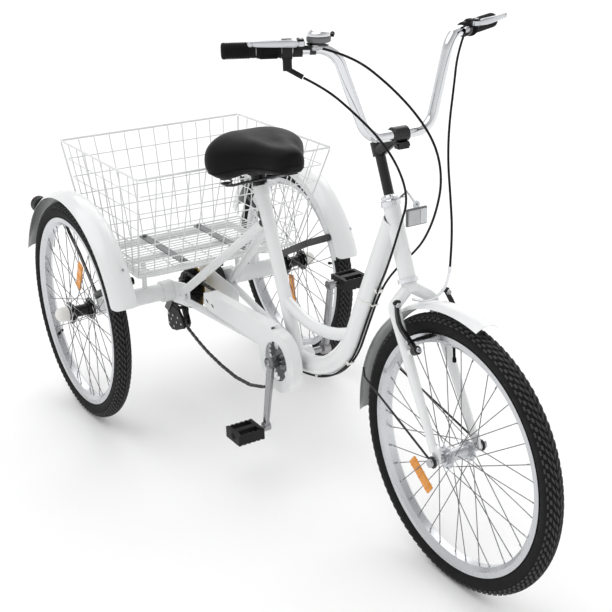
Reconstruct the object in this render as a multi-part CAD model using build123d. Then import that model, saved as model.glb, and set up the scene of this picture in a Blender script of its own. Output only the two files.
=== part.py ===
from build123d import *
import os
from math import acos, atan2, cos, degrees, hypot, pi, radians, sin, sqrt, tan

# Adult tricycle: one steered front wheel, two rear wheels on a through axle, a low step-through
# frame, a wire basket over the rear axle and a seven-speed chain drive to the rear axle.
# The script works in millimetres from the ground point under the rear axle: +X is forward, +Y is
# the rider's left and +Z is up. save() then moves every part so that the origin is the middle of
# the tricycle's footprint.

# ---------------------------------------------------------------- driving dimensions
WHEEL_R = 303.0          # outside radius of each tyre
TYRE_R = 24.0            # half the tyre's width
RIM_R = 262.0            # outside radius of the rim's flanges
RIM_BED_R = 241.0
RIM_HALF = 17.0
WHEELBASE = 1205.0
TRACK = 690.0
MIDDLE_X = 596.0         # middle of the footprint, ahead of the rear axle

REAR_HUB_Y = TRACK / 2
BB = (580.0, 0.0, 295.0)             # bottom bracket centre
HEAD_LOW = (1027.0, 0.0, 639.0)      # lower end of the head tube
HEAD_HIGH = (968.0, 0.0, 782.0)      # upper end of the head tube
SEAT_LUG = (424.0, 0.0, 683.0)       # top of the seat tube
FRONT_AXLE = (WHEELBASE, 0.0, WHEEL_R)

HEAD_TUBE_R = 18.0
DOWN_TUBE_R = 23.0
SEAT_TUBE_R = 17.0
BRACE_R = 15.0
TUBE_TOP = (976.0, 0.0, 754.0)        # top end of the down tube
TUBE_CORNER = (762.0, 0.0, 291.0)     # where its two straight runs would meet
TUBE_BEND = 260.0
STAY_R = 12.0
CHAIN_STAY_R = 10.0
POST_R = 12.7
STEERER_R = 12.7
QUILL_R = 11.1
BAR_R = 11.1
SHELL_R = 21.0                       # bottom bracket shell
SHELL_HALF = 34.0
AXLE_R = 7.5                         # rear through axle
HOUSING_R = 25.0
RUNNING = 0.05                       # radial clearance of a running fit

PITCH = 12.7                         # chain pitch
CHAINRING_TEETH = 32
COG_TEETH = (14, 16, 18, 20, 22, 24, 28)
COG_STEP = 5.0
FIRST_COG_Y = -32.0                  # smallest cog, outermost
CHAIN_COG = 3                        # the cog that the chain runs on at rest
CHAINRING_Y = -43.0
CRANK_LENGTH = 160.0
PEDAL_LONG, PEDAL_WIDE, PEDAL_THICK = 66.0, 72.0, 28.0
PEDAL_Y = 171.0
CRANK_ANGLE = 7.0                    # right arm leans this far ahead of straight down

RIGHT_PLATE_Y = -68.0
LEFT_PLATE_Y = 100.0
PLATE_HALF = 3.0

BASKET_FLOOR_Z = 426.0
BASKET_TOP_Z = 732.0
WIRE_R = 1.6
ACROSS_WIRES, ALONG_WIRES, LEVEL_WIRES = 12, 9, 6        # spaces between the basket's wires

GRIP_Z = 1124.0
BAR_POINTS = ((877.0, 333.0, GRIP_Z), (972.0, 142.0, GRIP_Z), (991.0, 78.0, 939.0))
GRIP_END = Vector(BAR_POINTS[0])
GRIP_RUN = (Vector(BAR_POINTS[1]) - GRIP_END).normalized()     # from the bar's end inwards

CABLE_R = 2.5


def save(name, *solids):
    """Writes one node, moved to the frame whose origin is the middle of the footprint."""
    flat = []
    for shape in solids:
        flat += shape.solids()
    moved = [Pos(-MIDDLE_X, 0, 0) * s for s in flat]
    part = moved[0] if len(moved) == 1 else Compound(children=moved)
    export_step(part, f"parts/{name}.step")


def mirror_y(shape):
    return shape.mirror(Plane.XZ)


# ---------------------------------------------------------------- shape helpers
def rod(start, end, radius, bore=0.0):
    """A round bar, or a tube if it has a bore, from one point to another."""
    start, end = Vector(start), Vector(end)
    along = end - start
    section = Circle(radius)
    if bore:
        section -= Circle(bore)
    return extrude(Plane(origin=start, z_dir=along) * section, amount=along.length)


def taper(start, end, r_start, r_end):
    start, end = Vector(start), Vector(end)
    along = end - start
    return Solid.make_cone(r_start, r_end, along.length, Plane(origin=start, z_dir=along))


def pipe(points, bend, radius, bore=0.0):
    """A bent tube along straight runs joined by arcs."""
    path = FilletPolyline(*points, radius=bend)
    section = Circle(radius)
    if bore:
        section -= Circle(bore)
    return sweep(Plane(origin=path @ 0, z_dir=path % 0) * section, path=path)


def arc_radii(points):
    """Each arc's radius is 0.45 of its shorter run, divided by the tangent of half the turn."""
    radii = []
    for before, corner, after in zip(points, points[1:], points[2:]):
        a = Vector(corner) - Vector(before)
        b = Vector(after) - Vector(corner)
        half_turn = radians(a.get_angle(b)) / 2
        radii.append(0.45 * min(a.length, b.length) / tan(half_turn))
    return radii


def turned(profile, start_angle=0.0, arc=360.0):
    """Revolves a sketch in (radius, axial) about the Y axis. Angles run from +X towards +Z."""
    ring = revolve(Plane.XY * profile, axis=Axis.Y, revolution_arc=arc)
    return Rot(0, -(start_angle + arc), 0) * ring if arc < 360 else ring


def disc(radius, y_low, y_high, bore=0.0, centre=(0.0, 0.0)):
    """A flat round plate about an axis along Y."""
    return rod((centre[0], y_low, centre[1]), (centre[0], y_high, centre[1]), radius, bore)


def block(low, high):
    size = [b - a for a, b in zip(low, high)]
    middle = [(a + b) / 2 for a, b in zip(low, high)]
    return Pos(*middle) * Box(*size)


def plate_xz(outline, y_low, y_high):
    """A flat plate: an (x, z) outline carried from one y to another."""
    plane = Plane(origin=(0, y_low, 0), x_dir=(1, 0, 0), z_dir=(0, -1, 0))
    face = plane * make_face(Polyline(*[(x, z) for x, z in outline], close=True))
    return extrude(face, amount=-(y_high - y_low))


def sprocket(teeth, y_low, y_high, bore, slots=0):
    """A toothed wheel about the Y axis: flat-topped teeth on a root circle."""
    pitch_r = teeth * PITCH / (2 * pi)
    root_r, tip_r = pitch_r - 4.0, pitch_r + 3.4
    step = 2 * pi / teeth
    outline = []
    for i in range(teeth):
        for share, r in ((-0.30, root_r), (-0.12, tip_r), (0.12, tip_r), (0.30, root_r)):
            angle = (i + 0.5 + share) * step
            outline.append((r * cos(angle), r * sin(angle)))
    wheel = plate_xz(outline, y_low, y_high) - disc(bore, y_low - 1, y_high + 1)
    for i in range(slots):
        angle = 2 * pi * i / slots
        place = (0.66 * pitch_r * cos(angle), 0.66 * pitch_r * sin(angle))
        wheel -= disc(0.17 * pitch_r, y_low - 1, y_high + 1, centre=place)
    return wheel


def tangent(c1, r1, side1, c2, r2, side2):
    """The straight run that leaves circle 1 and meets circle 2. A side is +1 where the path turns
    anticlockwise seen with x to the right and z up, and -1 where it turns clockwise."""
    dx, dz = c2[0] - c1[0], c2[1] - c1[1]
    span = hypot(dx, dz)
    base = atan2(dz, dx)
    lean = acos(max(-1.0, min(1.0, (side1 * r1 - side2 * r2) / span)))
    normal = base - lean
    n = (cos(normal), sin(normal))
    a = (c1[0] + side1 * r1 * n[0], c1[1] + side1 * r1 * n[1])
    b = (c2[0] + side2 * r2 * n[0], c2[1] + side2 * r2 * n[1])
    return a, b


# ---------------------------------------------------------------- wheels
def tyre():
    casing = Circle(TYRE_R) - Circle(TYRE_R - 4.0)
    casing = Pos(WHEEL_R - TYRE_R, 0) * casing
    casing -= Pos(WHEEL_R - TYRE_R - 26, 0) * Rectangle(14, 60)
    casing -= Pos(RIM_R - 5.8, 0) * Rectangle(12, 17)
    for side in (-1, 1):
        casing -= Pos(RIM_R - 5.7, side * (RIM_HALF + 2.5)) * Rectangle(12, 10)
    return turned(casing)


def rim():
    outer = [(RIM_R, RIM_HALF), (250, RIM_HALF), (RIM_BED_R, 9)]
    inner = [(243.5, 8), (251.5, RIM_HALF - 2.2), (RIM_R, RIM_HALF - 2.2)]
    half = outer + [(r, -y) for r, y in reversed(outer)]
    back = [(r, -y) for r, y in reversed(inner)]
    return turned(make_face(Polyline(*half, *back, *inner, close=True)))


def spokes(flange_r, flange_y, hub):
    """Thirty-six spokes laced three-cross: heads on both faces of each flange."""
    made = []
    for side in (-1, 1):
        for j in range(18):
            leading = j % 2 == 0
            hub_angle = radians(j * 20 + (10 if side > 0 else 0))
            rim_angle = hub_angle + radians(60 if leading else -60)
            hub_y = side * (flange_y + (2.8 if leading else -2.8))
            rim_y = side * (4.5 if leading else 1.2)
            a = (flange_r * cos(hub_angle), hub_y, flange_r * sin(hub_angle))
            b = ((RIM_BED_R - 0.2) * cos(rim_angle), rim_y, (RIM_BED_R - 0.2) * sin(rim_angle))
            made.append(largest(rod(a, b, 1.0) - hub))
    return made


def wheel_reflector(angle, y, reach, turn=0.0):
    """An amber reflector clipped to the spokes at a reach from the hub, turned from their direction."""
    bar = Box(27, 7, 84)
    bar = fillet(bar.edges().filter_by(Axis.Y), 8)
    bar = Pos(0, 0, reach) * (Rot(0, turn, 0) * bar)
    return Pos(0, y, 0) * (Rot(0, 90 - angle, 0) * bar)


def front_hub():
    body = disc(13.5, -27, 27) + disc(17, -30, -22) + disc(17, 22, 30)
    for side in (-1, 1):
        low, high = sorted((side * 27.5, side * 30.5))
        body += disc(24, low, high)
        low, high = sorted((side * 30.5, side * 38.0))
        body += disc(15, low, high)
    return body - disc(5.0 + RUNNING, -60, 60)


def rear_hub(bore):
    body = disc(16, -27, 27)
    for side in (-1, 1):
        low, high = sorted((side * 27.5, side * 30.8))
        body += disc(31, low, high)
        low, high = sorted((side * 18.0, side * 28.0))
        body += disc(22, low, high)
        low, high = sorted((side * 30.8, side * 37.0))
        body += disc(20, low, high)
    return body - disc(bore, -60, 60)


def hub_cap(side):
    """A domed plastic cap over the axle's outer end."""
    start, shoulder, crown, floor = side * 38.0, side * 52.0, side * 70.0, side * 57.0
    dome = ThreePointArc((19, shoulder), (14.5, side * 64.5), (5, crown))
    edge = Polyline((5, crown), (0, crown), (0, floor), (15.5, floor), (15.5, start), (19, start),
                    (19, shoulder))
    return turned(make_face([dome, edge]))


# ---------------------------------------------------------------- frame
def head_tube():
    return rod(HEAD_LOW, HEAD_HIGH, HEAD_TUBE_R, HEAD_TUBE_R - 3.0)


def solid_head():
    return rod(HEAD_LOW, HEAD_HIGH, HEAD_TUBE_R)


def solid_shell():
    return disc(SHELL_R, -SHELL_HALF, SHELL_HALF, centre=(BB[0], BB[2]))


def down_tube_path():
    return (TUBE_TOP, TUBE_CORNER, (BB[0], 0.0, TUBE_CORNER[2]))


def down_tube():
    tube = pipe(down_tube_path(), TUBE_BEND, DOWN_TUBE_R, DOWN_TUBE_R - 2.0)
    return largest(tube - solid_head() - solid_shell())


def solid_down_tube():
    return pipe(down_tube_path(), TUBE_BEND, DOWN_TUBE_R)


def largest(shape):
    return max(shape.solids(), key=lambda s: s.volume)


def seat_tube():
    tube = rod(BB, SEAT_LUG, SEAT_TUBE_R, POST_R + RUNNING)
    return largest(tube - solid_shell() - solid_down_tube())


def frame_brace():
    path = ((497.0, 0.0, 436.0), (672.0, 0.0, 382.0), (845.0, 0.0, 448.0))
    tube = pipe(path, 330.0, BRACE_R, BRACE_R - 1.8)
    tube -= rod(BB, SEAT_LUG, SEAT_TUBE_R)
    tube -= solid_down_tube()
    return largest(tube)


def shell_tube():
    return disc(SHELL_R, -SHELL_HALF, SHELL_HALF, bore=17.0, centre=(BB[0], BB[2]))


def rear_stays():
    """Two seat stays and two chain stays, mitred to the tubes and plates that they meet."""
    seat = rod(BB, SEAT_LUG, SEAT_TUBE_R)
    made = []
    runs = [
        ((442.0, -11.0, 608.0), (92.0, RIGHT_PLATE_Y, 330.0), STAY_R),
        ((442.0, 11.0, 608.0), (60.0, LEFT_PLATE_Y, 318.0), STAY_R),
        ((566.0, -20.0, 291.0), (92.0, RIGHT_PLATE_Y, 299.0), CHAIN_STAY_R),
        ((566.0, 22.0, 291.0), (60.0, LEFT_PLATE_Y, 299.0), CHAIN_STAY_R),
    ]
    plates = rear_plates()
    for start, end, radius in runs:
        tube = rod(start, end, radius, radius - 1.6) - seat - solid_shell()
        for plate in plates:
            tube -= plate
        made.append(largest(tube))
    made[1] = largest(made[1] - rod(runs[0][0], runs[0][1], STAY_R))
    return made


def rear_plates():
    """The drop-out plates, each with a collar clamped round an axle housing."""
    made = []
    for y, lobe_x, out in ((RIGHT_PLATE_Y, 98.0, -1), (LEFT_PLATE_Y, 66.0, 1)):
        outline = [(-20, 276), (20, 272), (lobe_x + 12, 286), (lobe_x + 18, 300)]
        outline += [(lobe_x + 14, 344), (lobe_x - 8, 350), (14, 334), (-20, 330)]
        plate = plate_xz(outline, y - PLATE_HALF, y + PLATE_HALF)
        collar = disc(31, *sorted((y, y + out * 34)), centre=(0, WHEEL_R))
        plate = plate + collar
        plate -= disc(HOUSING_R, y - 60, y + 60, centre=(0, WHEEL_R))
        plate -= disc(3.2, y - 60, y + 60, centre=(lobe_x - 34, 306))
        made.append(plate)
    return made


def housing_spans():
    hub_inner = REAR_HUB_Y - 37
    right = (-(hub_inner - 10), RIGHT_PLATE_Y + PLATE_HALF)
    return (right, (LEFT_PLATE_Y - PLATE_HALF, hub_inner - 10))


def axle_housings():
    made = []
    for low, high in housing_spans():
        made.append(disc(HOUSING_R, low, high, bore=HOUSING_R - 3, centre=(0, WHEEL_R)))
    return made


def bearing_cups():
    """Axle bearings, bottom bracket cups and headset cups: one ring each."""
    made = []
    for low, high in housing_spans():
        for y in (low, high - 12):
            made.append(disc(HOUSING_R - 3, y, y + 12, bore=AXLE_R + RUNNING, centre=(0, WHEEL_R)))
    for side in (-1, 1):
        low, high = sorted((side * 22.0, side * (SHELL_HALF + 2.5)))
        cup = disc(17.0, low, high, bore=8.0 + RUNNING, centre=(BB[0], BB[2]))
        low, high = sorted((side * SHELL_HALF, side * (SHELL_HALF + 2.5)))
        made.append(cup + disc(20.0, low, high, bore=8.0 + RUNNING, centre=(BB[0], BB[2])))
    axis = (Vector(HEAD_HIGH) - Vector(HEAD_LOW)).normalized()
    low, high = Vector(HEAD_LOW), Vector(HEAD_HIGH)
    made.append(rod(low - axis * 9, low, 22.5, STEERER_R + RUNNING))
    made.append(rod(high, high + axis * 10, 21.5, STEERER_R + RUNNING))
    return made


def carrier_frame():
    """The tube frame that carries the basket over the axle housings."""
    z, r, y, back, front = BASKET_FLOOR_Z - 13.0, 10.0, 205.0, -140.0, 122.0
    corners = ((front, 0, z), (front, y, z), (back, y, z), (back, 0, z))
    half = pipe(corners, 30.0, r)
    frame = half + mirror_y(half)
    frame += rod((0, -y, z), (0, y, z), r - 1.5)
    for side in (-1, 1):
        frame += rod((0, side * (y + 2), WHEEL_R + 10), (0, side * (y + 2), z), r - 2.0)
        frame += rod((0, side * 150, WHEEL_R + 10), (0, side * 150, z), r - 3.0)
    for low, high in housing_spans():
        frame -= disc(HOUSING_R, low, high, centre=(0, WHEEL_R))
    return largest(frame)


def seat_clamp():
    axis = (Vector(SEAT_LUG) - Vector(BB)).normalized()
    top = Vector(SEAT_LUG)
    collar = rod(top, top + axis * 16, 19.5, POST_R + RUNNING)
    lip = rod(top - axis * 8, top, 19.5, SEAT_TUBE_R)
    ears = Pos(*(top + axis * 8 + Vector(-22, 0, -7))) * Box(18, 18, 14)
    ears -= rod(top - axis * 20, top + axis * 40, 18.0)
    bolt = rod(top + axis * 8 + Vector(-25, -16, -7), top + axis * 8 + Vector(-25, 16, -7), 3.2)
    return (collar + lip + ears) + bolt


# ---------------------------------------------------------------- basket
def basket_corner(u, v, z):
    """A point of the basket at height z, with u from -1 (back) to 1 (front), v from -1 (right) to 1."""
    share = (z - BASKET_FLOOR_Z) / (BASKET_TOP_Z - BASKET_FLOOR_Z)
    back, front = -150 - 50 * share, 176 + 132 * share
    half = 240 + 42 * share
    return Vector((back + front) / 2 + u * (front - back) / 2, v * half, z)


def basket():
    """A welded wire basket: upright and level wires on four sides, a close floor and a rim."""
    floor, top = BASKET_FLOOR_Z + WIRE_R, BASKET_TOP_Z
    lift = 2 * WIRE_R + 0.1
    made = []

    def wire(start, end, shift=Vector(0, 0, 0)):
        made.append(rod(basket_corner(*start) + shift, basket_corner(*end) + shift, WIRE_R))

    for i in range(1, ACROSS_WIRES):
        v = 0.98 * (i / ACROSS_WIRES * 2 - 1)
        for u in (-1, 1):
            wire((u, v, floor + 6), (u, v, top - 4))
    for i in range(1, ALONG_WIRES):
        u = i / ALONG_WIRES * 2 - 1
        for v in (-1, 1):
            wire((u, v, floor + 6), (u, v, top - 4))
    for i in range(1, LEVEL_WIRES):
        z = BASKET_FLOOR_Z + i * (BASKET_TOP_Z - BASKET_FLOOR_Z) / LEVEL_WIRES
        for side in (-1, 1):
            wire((side, -0.97, z), (side, 0.97, z), Vector(-side * lift, 0, 0))
            wire((-0.96, side, z), (0.96, side, z), Vector(0, -side * lift, 0))
    for i in range(17):
        u = i / 16 * 1.9 - 0.95
        wire((u, -0.98, floor + lift), (u, 0.98, floor + lift))
    for v in (-0.8, -0.5, 0.0, 0.5, 0.8):
        wire((-0.98, v, floor), (0.98, v, floor))
    for z, r in ((top, 3.0), (floor + 1.6, 2.4)):
        loop = [basket_corner(u, v, z) for u, v in ((-1, -1), (1, -1), (1, 1), (-1, 1))]
        for a, b in zip(loop, loop[1:] + loop[:1]):
            step = (b - a).normalized() * (r + 0.6)
            made.append(rod(a + step, b - step, r))
    for u in (-1, 1):
        for v in (-1, 1):
            made.append(rod(basket_corner(u, v, floor + 6), basket_corner(u, v, top - 5), 2.4))
    return made


def basket_straps():
    """Two flat bars that clamp the basket's floor to the carrier, with a bolt at each end."""
    made = []
    low = BASKET_FLOOR_Z + 3 * WIRE_R + 2.1
    for side in (-1, 1):
        y = side * 88.0
        bar = block((-128, y - 12, low), (138, y + 12, low + 3))
        for x in (-118.0, 128.0):
            bar += Pos(x, y, low + 5) * Cylinder(6, 6)
        made.append(bar)
    return made


# ---------------------------------------------------------------- fenders and stays
def crowned_section(radius, half, drop, thickness):
    """A fender's section: a crowned strip in (radius, axial)."""
    outer = ThreePointArc((radius - drop, -half), (radius, 0), (radius - drop, half))
    inner = ThreePointArc((radius - drop - 0.6, half - thickness), (radius - thickness, 0),
                          (radius - drop - 0.6, -half + thickness))
    ends = [Line(outer @ 1, inner @ 0), Line(inner @ 1, outer @ 0)]
    return make_face([outer, ends[0], inner, ends[1]])


FENDER_R, FENDER_HALF = 334.0, 36.0
FENDER_FROM = 18.5                  # angle of the fender's front end
CORNER_R = 16.0
FENDER_MIDDLE = 339.0
FRONT_FENDER_R = 326.0


def rear_fender(side):
    """A crowned rear fender with a flat skirt on the basket's side."""
    section = crowned_section(FENDER_R, FENDER_HALF, 15.0, 1.8)
    section += Pos(FENDER_R - 26, -side * (FENDER_HALF - 0.9)) * Rectangle(23, 1.8)
    shell = turned(section, FENDER_FROM, 161.0 - FENDER_FROM)
    start = radians(FENDER_FROM)
    out = Vector(cos(start), 0, sin(start))
    end = Plane(origin=out * (FENDER_R - 10), x_dir=(-out.Z, 0, out.X), z_dir=out)
    for across in (-1, 1):
        edge = across * (FENDER_HALF - CORNER_R / 2)
        corner = Pos(CORNER_R / 2 - 1, edge + across, 0) * Box(CORNER_R + 2, CORNER_R + 2, 24)
        corner -= Pos(CORNER_R, across * (FENDER_HALF - CORNER_R), 0) * Cylinder(CORNER_R, 26)
        shell -= end * corner
    return Pos(0, side * FENDER_MIDDLE, WHEEL_R) * largest(shell)


def flat_stay(points, y_low, y_high, width):
    """A flat bar on edge that follows (x, z) points."""
    made = None
    for a, b in zip(points, points[1:]):
        along = Vector(b[0] - a[0], 0, b[1] - a[1])
        across = Vector(-along.Z, 0, along.X).normalized() * (width / 2)
        corners = [Vector(*p) for p in ((a[0], 0, a[1]), (b[0], 0, b[1]))]
        outline = [corners[0] + across, corners[1] + across, corners[1] - across, corners[0] - across]
        piece = plate_xz([(c.X, c.Z) for c in outline], y_low, y_high)
        joint = disc(width / 2, y_low, y_high, centre=b)
        made = piece + joint if made is None else made + piece + joint
    return made + disc(width / 2, y_low, y_high, centre=points[0])


def rear_fender_stays():
    """Flat stays from the axle housings' ends to the fenders."""
    made = []
    for side in (-1, 1):
        low, high = sorted((side * 296.5, side * 300.5))
        front = flat_stay([(4, 338), (150, 412), (268, 463)], low, high, 20.0)
        front -= disc(HOUSING_R, -400, 400, centre=(0, WHEEL_R))
        low, high = sorted((side * 291.5, side * 295.5))
        rear = flat_stay([(-4, 338), (-105, 428), (-176, 476), (-218, 526)], low, high, 14.0)
        rear -= disc(HOUSING_R, -400, 400, centre=(0, WHEEL_R))
        for x, z, y_in in ((268, 463, 300.5), (-218, 526, 295.5)):
            low, high = sorted((side * y_in, side * 304.0))
            lug = disc(4.0, low, high, centre=(x, z))
            if x > 0:
                front += lug
            else:
                rear += lug
        made += [largest(front - rear_fender(side)), largest(rear - rear_fender(side))]
    return made


def front_fender():
    shell = turned(crowned_section(FRONT_FENDER_R, 28.0, 11.0, 1.5), 76.0, 108.0)
    shell = Pos(*FRONT_AXLE) * shell
    made = [shell]
    for side in (-1, 1):
        path = ((WHEELBASE - 296, side * 30.5, WHEEL_R + 92), (WHEELBASE - 270, side * 46, WHEEL_R + 84),
                (WHEELBASE - 12, side * 65, WHEEL_R + 3))
        wire = pipe(path, 20.0, 2.5)
        eye = disc(13, *sorted((side * 63.5, side * 66.5)), centre=(WHEELBASE, WHEEL_R))
        eye -= disc(5.1, -80, 80, centre=(WHEELBASE, WHEEL_R))
        made.append(largest(wire + eye - shell - disc(5.1, -80, 80, centre=(WHEELBASE, WHEEL_R))))
    return made


# ---------------------------------------------------------------- fork, stem and handlebar
STEER = (Vector(HEAD_HIGH) - Vector(HEAD_LOW)).normalized()


def on_steering_axis(distance):
    """A point on the steering axis, measured up from the lower end of the head tube."""
    return Vector(HEAD_LOW) + STEER * distance


def fork():
    steerer_top = (Vector(HEAD_HIGH) - Vector(HEAD_LOW)).length + 24
    steerer = rod(on_steering_axis(-22), on_steering_axis(steerer_top), STEERER_R)
    crown = rod(on_steering_axis(-30), on_steering_axis(-10), 17.5)
    body = steerer + crown
    bend, tip = Vector(1046, 50, 592), Vector(1197, 54.5, 320)
    for side in (-1, 1):
        elbow = Vector(bend.X, side * bend.Y, bend.Z)
        end = Vector(tip.X, side * tip.Y, tip.Z)
        along = (end - elbow).normalized()
        knee = elbow + along * 22
        body += pipe((on_steering_axis(-20) + Vector(0, side * 4, 0), elbow, knee), 20.0, 13.0)
        body += taper(knee - along * 4, end, 13.0, 8.5)
        tab = plate_xz([(1190, 334), (1210, 334), (1217, 303), (1205, 291), (1193, 303)],
                       *sorted((side * 50.5, side * 56.0)))
        body += tab
        stud = brake_pivot(side)
        body += rod(stud, stud + STUD * 26, 6.0)
        body += rod(stud, stud + STUD * 46, 4.0)
    body -= disc(5.0 + RUNNING, -80, 80, centre=(WHEELBASE, WHEEL_R))
    body -= rod(on_steering_axis(10), on_steering_axis(steerer_top + 5), QUILL_R + RUNNING)
    return largest(body)


BLADE = Vector(1197 - 1046, 0, 320 - 592).normalized()
STUD = Vector(-BLADE.Z, 0, BLADE.X)            # forward and up, square to the blades


def brake_pivot(side):
    """Where a brake stud leaves its blade."""
    return Vector(1046, side * 51.5, 592) + BLADE * 100


def v_brake(side):
    """A linear-pull brake arm with its shoe, on the fork's stud."""
    pivot = brake_pivot(side) + STUD * 26.5
    up = BLADE * -1
    out = Vector(0, side, 0)
    boss = rod(pivot, pivot + STUD * 18, 9.0)
    top = pivot + up * 108 + out * 12 + STUD * 9
    arm = boss + taper(pivot + STUD * 9, top, 7.6, 5.2)
    arm += rod(top + out * -8 - up * 6, top + out * 9 - up * 6, 3.6)
    post = pivot + up * 21 + STUD * 9
    rim_face = side * (RIM_HALF + 2.0)
    stem_end = Vector(post.X, rim_face + side * 9, post.Z)
    arm += rod(stem_end, post + out * 9, 3.3)
    shoe_mid = Vector(post.X, rim_face + side * 4.5, post.Z)
    shoe = Plane(origin=shoe_mid, x_dir=STUD, z_dir=BLADE) * Box(50, 9, 9)
    arm -= rod(pivot - STUD * 3, pivot + STUD * 21, 4.0 + RUNNING)
    return arm + shoe


def stem():
    top = on_steering_axis(285)
    clamp_at = Vector(BAR_POINTS[2][0], 0, BAR_POINTS[2][2])
    quill = rod(on_steering_axis(60), top, QUILL_R)
    neck = taper(on_steering_axis(272), clamp_at + Vector(-8, 0, -6), 14.5, 12.5)
    collar = rod(on_steering_axis(262), on_steering_axis(292), 15.5)
    clamp = rod(clamp_at + Vector(0, -17, 0), clamp_at + Vector(0, 17, 0), 16.5)
    lug = Pos(*(clamp_at + Vector(10, 0, -20))) * Box(16, 26, 14)
    bolt = rod(clamp_at + Vector(12, -16, -21), clamp_at + Vector(12, 16, -21), 5.0)
    body = quill + collar + neck + clamp + lug + bolt
    return largest(body - rod(clamp_at + Vector(0, -60, 0), clamp_at + Vector(0, 60, 0), BAR_R + RUNNING))


def handlebar():
    left = [Vector(*p) for p in BAR_POINTS]
    right = [Vector(p.X, -p.Y, p.Z) for p in reversed(left)]
    return pipe([tuple(p) for p in left + right], 48.0, BAR_R, BAR_R - 1.8)


def bar_point(side, distance, forward=0.0, up=0.0):
    """A point beside the grip: distance in from the bar's end, then forward of the bar and up."""
    run = Vector(GRIP_RUN.X, side * GRIP_RUN.Y, 0)
    ahead = Vector(-GRIP_RUN.Y, side * GRIP_RUN.X, 0)
    end = Vector(GRIP_END.X, side * GRIP_END.Y, GRIP_END.Z)
    return end + run * distance + ahead * forward + Vector(0, 0, up)


def grips():
    """The left grip, and the short fixed grip outside the twist shifter on the right."""
    made = []
    for side, length in ((1, 118.0), (-1, 62.0)):
        grip = rod(bar_point(side, -4), bar_point(side, length), 16.0)
        made.append(grip - rod(bar_point(side, 0), bar_point(side, 200), BAR_R))
    return made


TWIST_FROM, TWIST_TO = 63.0, 111.0


def twist_grip():
    sleeve = rod(bar_point(-1, TWIST_FROM), bar_point(-1, TWIST_TO), 17.0)
    return sleeve - rod(bar_point(-1, 0), bar_point(-1, 200), BAR_R + RUNNING)


LEVER_OUT, LEVER_UP = 27.0, 14.0
PIVOT_AT = 146.0


def lever_brackets():
    """The brake lever brackets and the shifter's housing, clamped round the bar."""
    made = []
    for side in (-1, 1):
        bracket = rod(bar_point(side, 133), bar_point(side, 151), 15.5)
        ahead = (bar_point(side, 0, 1) - bar_point(side, 0)).normalized()
        mount = Plane(origin=bar_point(side, PIVOT_AT, 0, LEVER_UP), x_dir=ahead, z_dir=(0, 0, 1))
        bracket += mount * (Pos(11.5, 0, -2) * Box(11, 12, 20))
        for height in (-6.5, 6.5):
            bracket += mount * (Pos(21.5, 0, height) * Box(25, 12, 3))
        pin = rod(bar_point(side, PIVOT_AT, LEVER_OUT, LEVER_UP - 9),
                  bar_point(side, PIVOT_AT, LEVER_OUT, LEVER_UP + 9), 2.5)
        barrel = rod(bar_point(side, 142, LEVER_OUT - 14, LEVER_UP - 10),
                     bar_point(side, 178, LEVER_OUT - 7, LEVER_UP - 10), 4.4)
        bracket = bracket + pin + barrel
        bracket -= rod(bar_point(side, 100), bar_point(side, 180), BAR_R)
        made.append(largest(bracket))
    housing = rod(bar_point(-1, 112), bar_point(-1, 131), 20.0)
    housing += rod(bar_point(-1, 121.5, 4, -8), bar_point(-1, 121.5, 8, -40), 9.0)
    housing += rod(bar_point(-1, 121.5, 8, -36), bar_point(-1, 150, 14, -52), 5.0)
    housing -= rod(bar_point(-1, 100), bar_point(-1, 140), BAR_R)
    made.append(largest(housing))
    return made


def brake_lever(side):
    """A lever blade that swings about an upright pin towards the grip."""
    hub = rod(bar_point(side, PIVOT_AT, LEVER_OUT, LEVER_UP - 4.5),
              bar_point(side, PIVOT_AT, LEVER_OUT, LEVER_UP + 4.5), 8.0)
    points = [bar_point(side, PIVOT_AT - 4, LEVER_OUT + 2, LEVER_UP),
              bar_point(side, 112, LEVER_OUT + 22, LEVER_UP + 4),
              bar_point(side, 46, LEVER_OUT + 24, LEVER_UP + 6)]
    blade = rod(points[0], points[1], 4.4)
    blade += Pos(*points[1]) * Sphere(4.4)
    blade += rod(points[1], points[2], 4.4)
    blade += Pos(*points[2]) * Sphere(6.0)
    blade += hub
    bore = rod(bar_point(side, PIVOT_AT, LEVER_OUT, LEVER_UP - 30),
               bar_point(side, PIVOT_AT, LEVER_OUT, LEVER_UP + 30), 2.5 + RUNNING)
    return largest(blade - bore)


BELL_CLAMP_AT, BELL_AT = 171.0, 183.0
DOME_R, DOME_HEIGHT = 22.5, 14.0


def bell():
    """The bell's clamp and base, and its low dome."""
    clamp = rod(bar_point(-1, BELL_CLAMP_AT - 6), bar_point(-1, BELL_CLAMP_AT + 6), 12.4)
    neck = rod(bar_point(-1, BELL_CLAMP_AT, 0, 8), bar_point(-1, BELL_CLAMP_AT, 0, 16), 7.0)
    foot = bar_point(-1, BELL_AT, 0, 12)
    base = rod(foot, foot + Vector(0, 0, 11), 24.0)
    base += Pos(*(foot + Vector(0, 27, 4.5))) * Box(10, 18, 3)
    body = (clamp + neck + base) - rod(bar_point(-1, 100), bar_point(-1, 200), BAR_R)
    round_r = (DOME_R ** 2 + DOME_HEIGHT ** 2) / (2 * DOME_HEIGHT)
    seat = foot + Vector(0, 0, 11.3)
    middle = seat + Vector(0, 0, DOME_HEIGHT - round_r)
    dome = Pos(*middle) * Sphere(round_r) & Pos(*(seat + Vector(0, 0, 20))) * Box(80, 80, 40)
    return [largest(body), dome - Pos(*middle) * Sphere(round_r - 1.6)]


def bell_trigger():
    hub = bar_point(-1, BELL_AT, 0, 22) + Vector(0, 31, 0)
    lever = rod(hub + Vector(0, 0, -3), hub + Vector(0, 0, 3), 4.0)
    lever += rod(hub, hub + Vector(-14, 10, 0), 2.5)
    lever += Pos(*(hub + Vector(-14, 10, 0))) * Sphere(4.5)
    return lever


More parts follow.
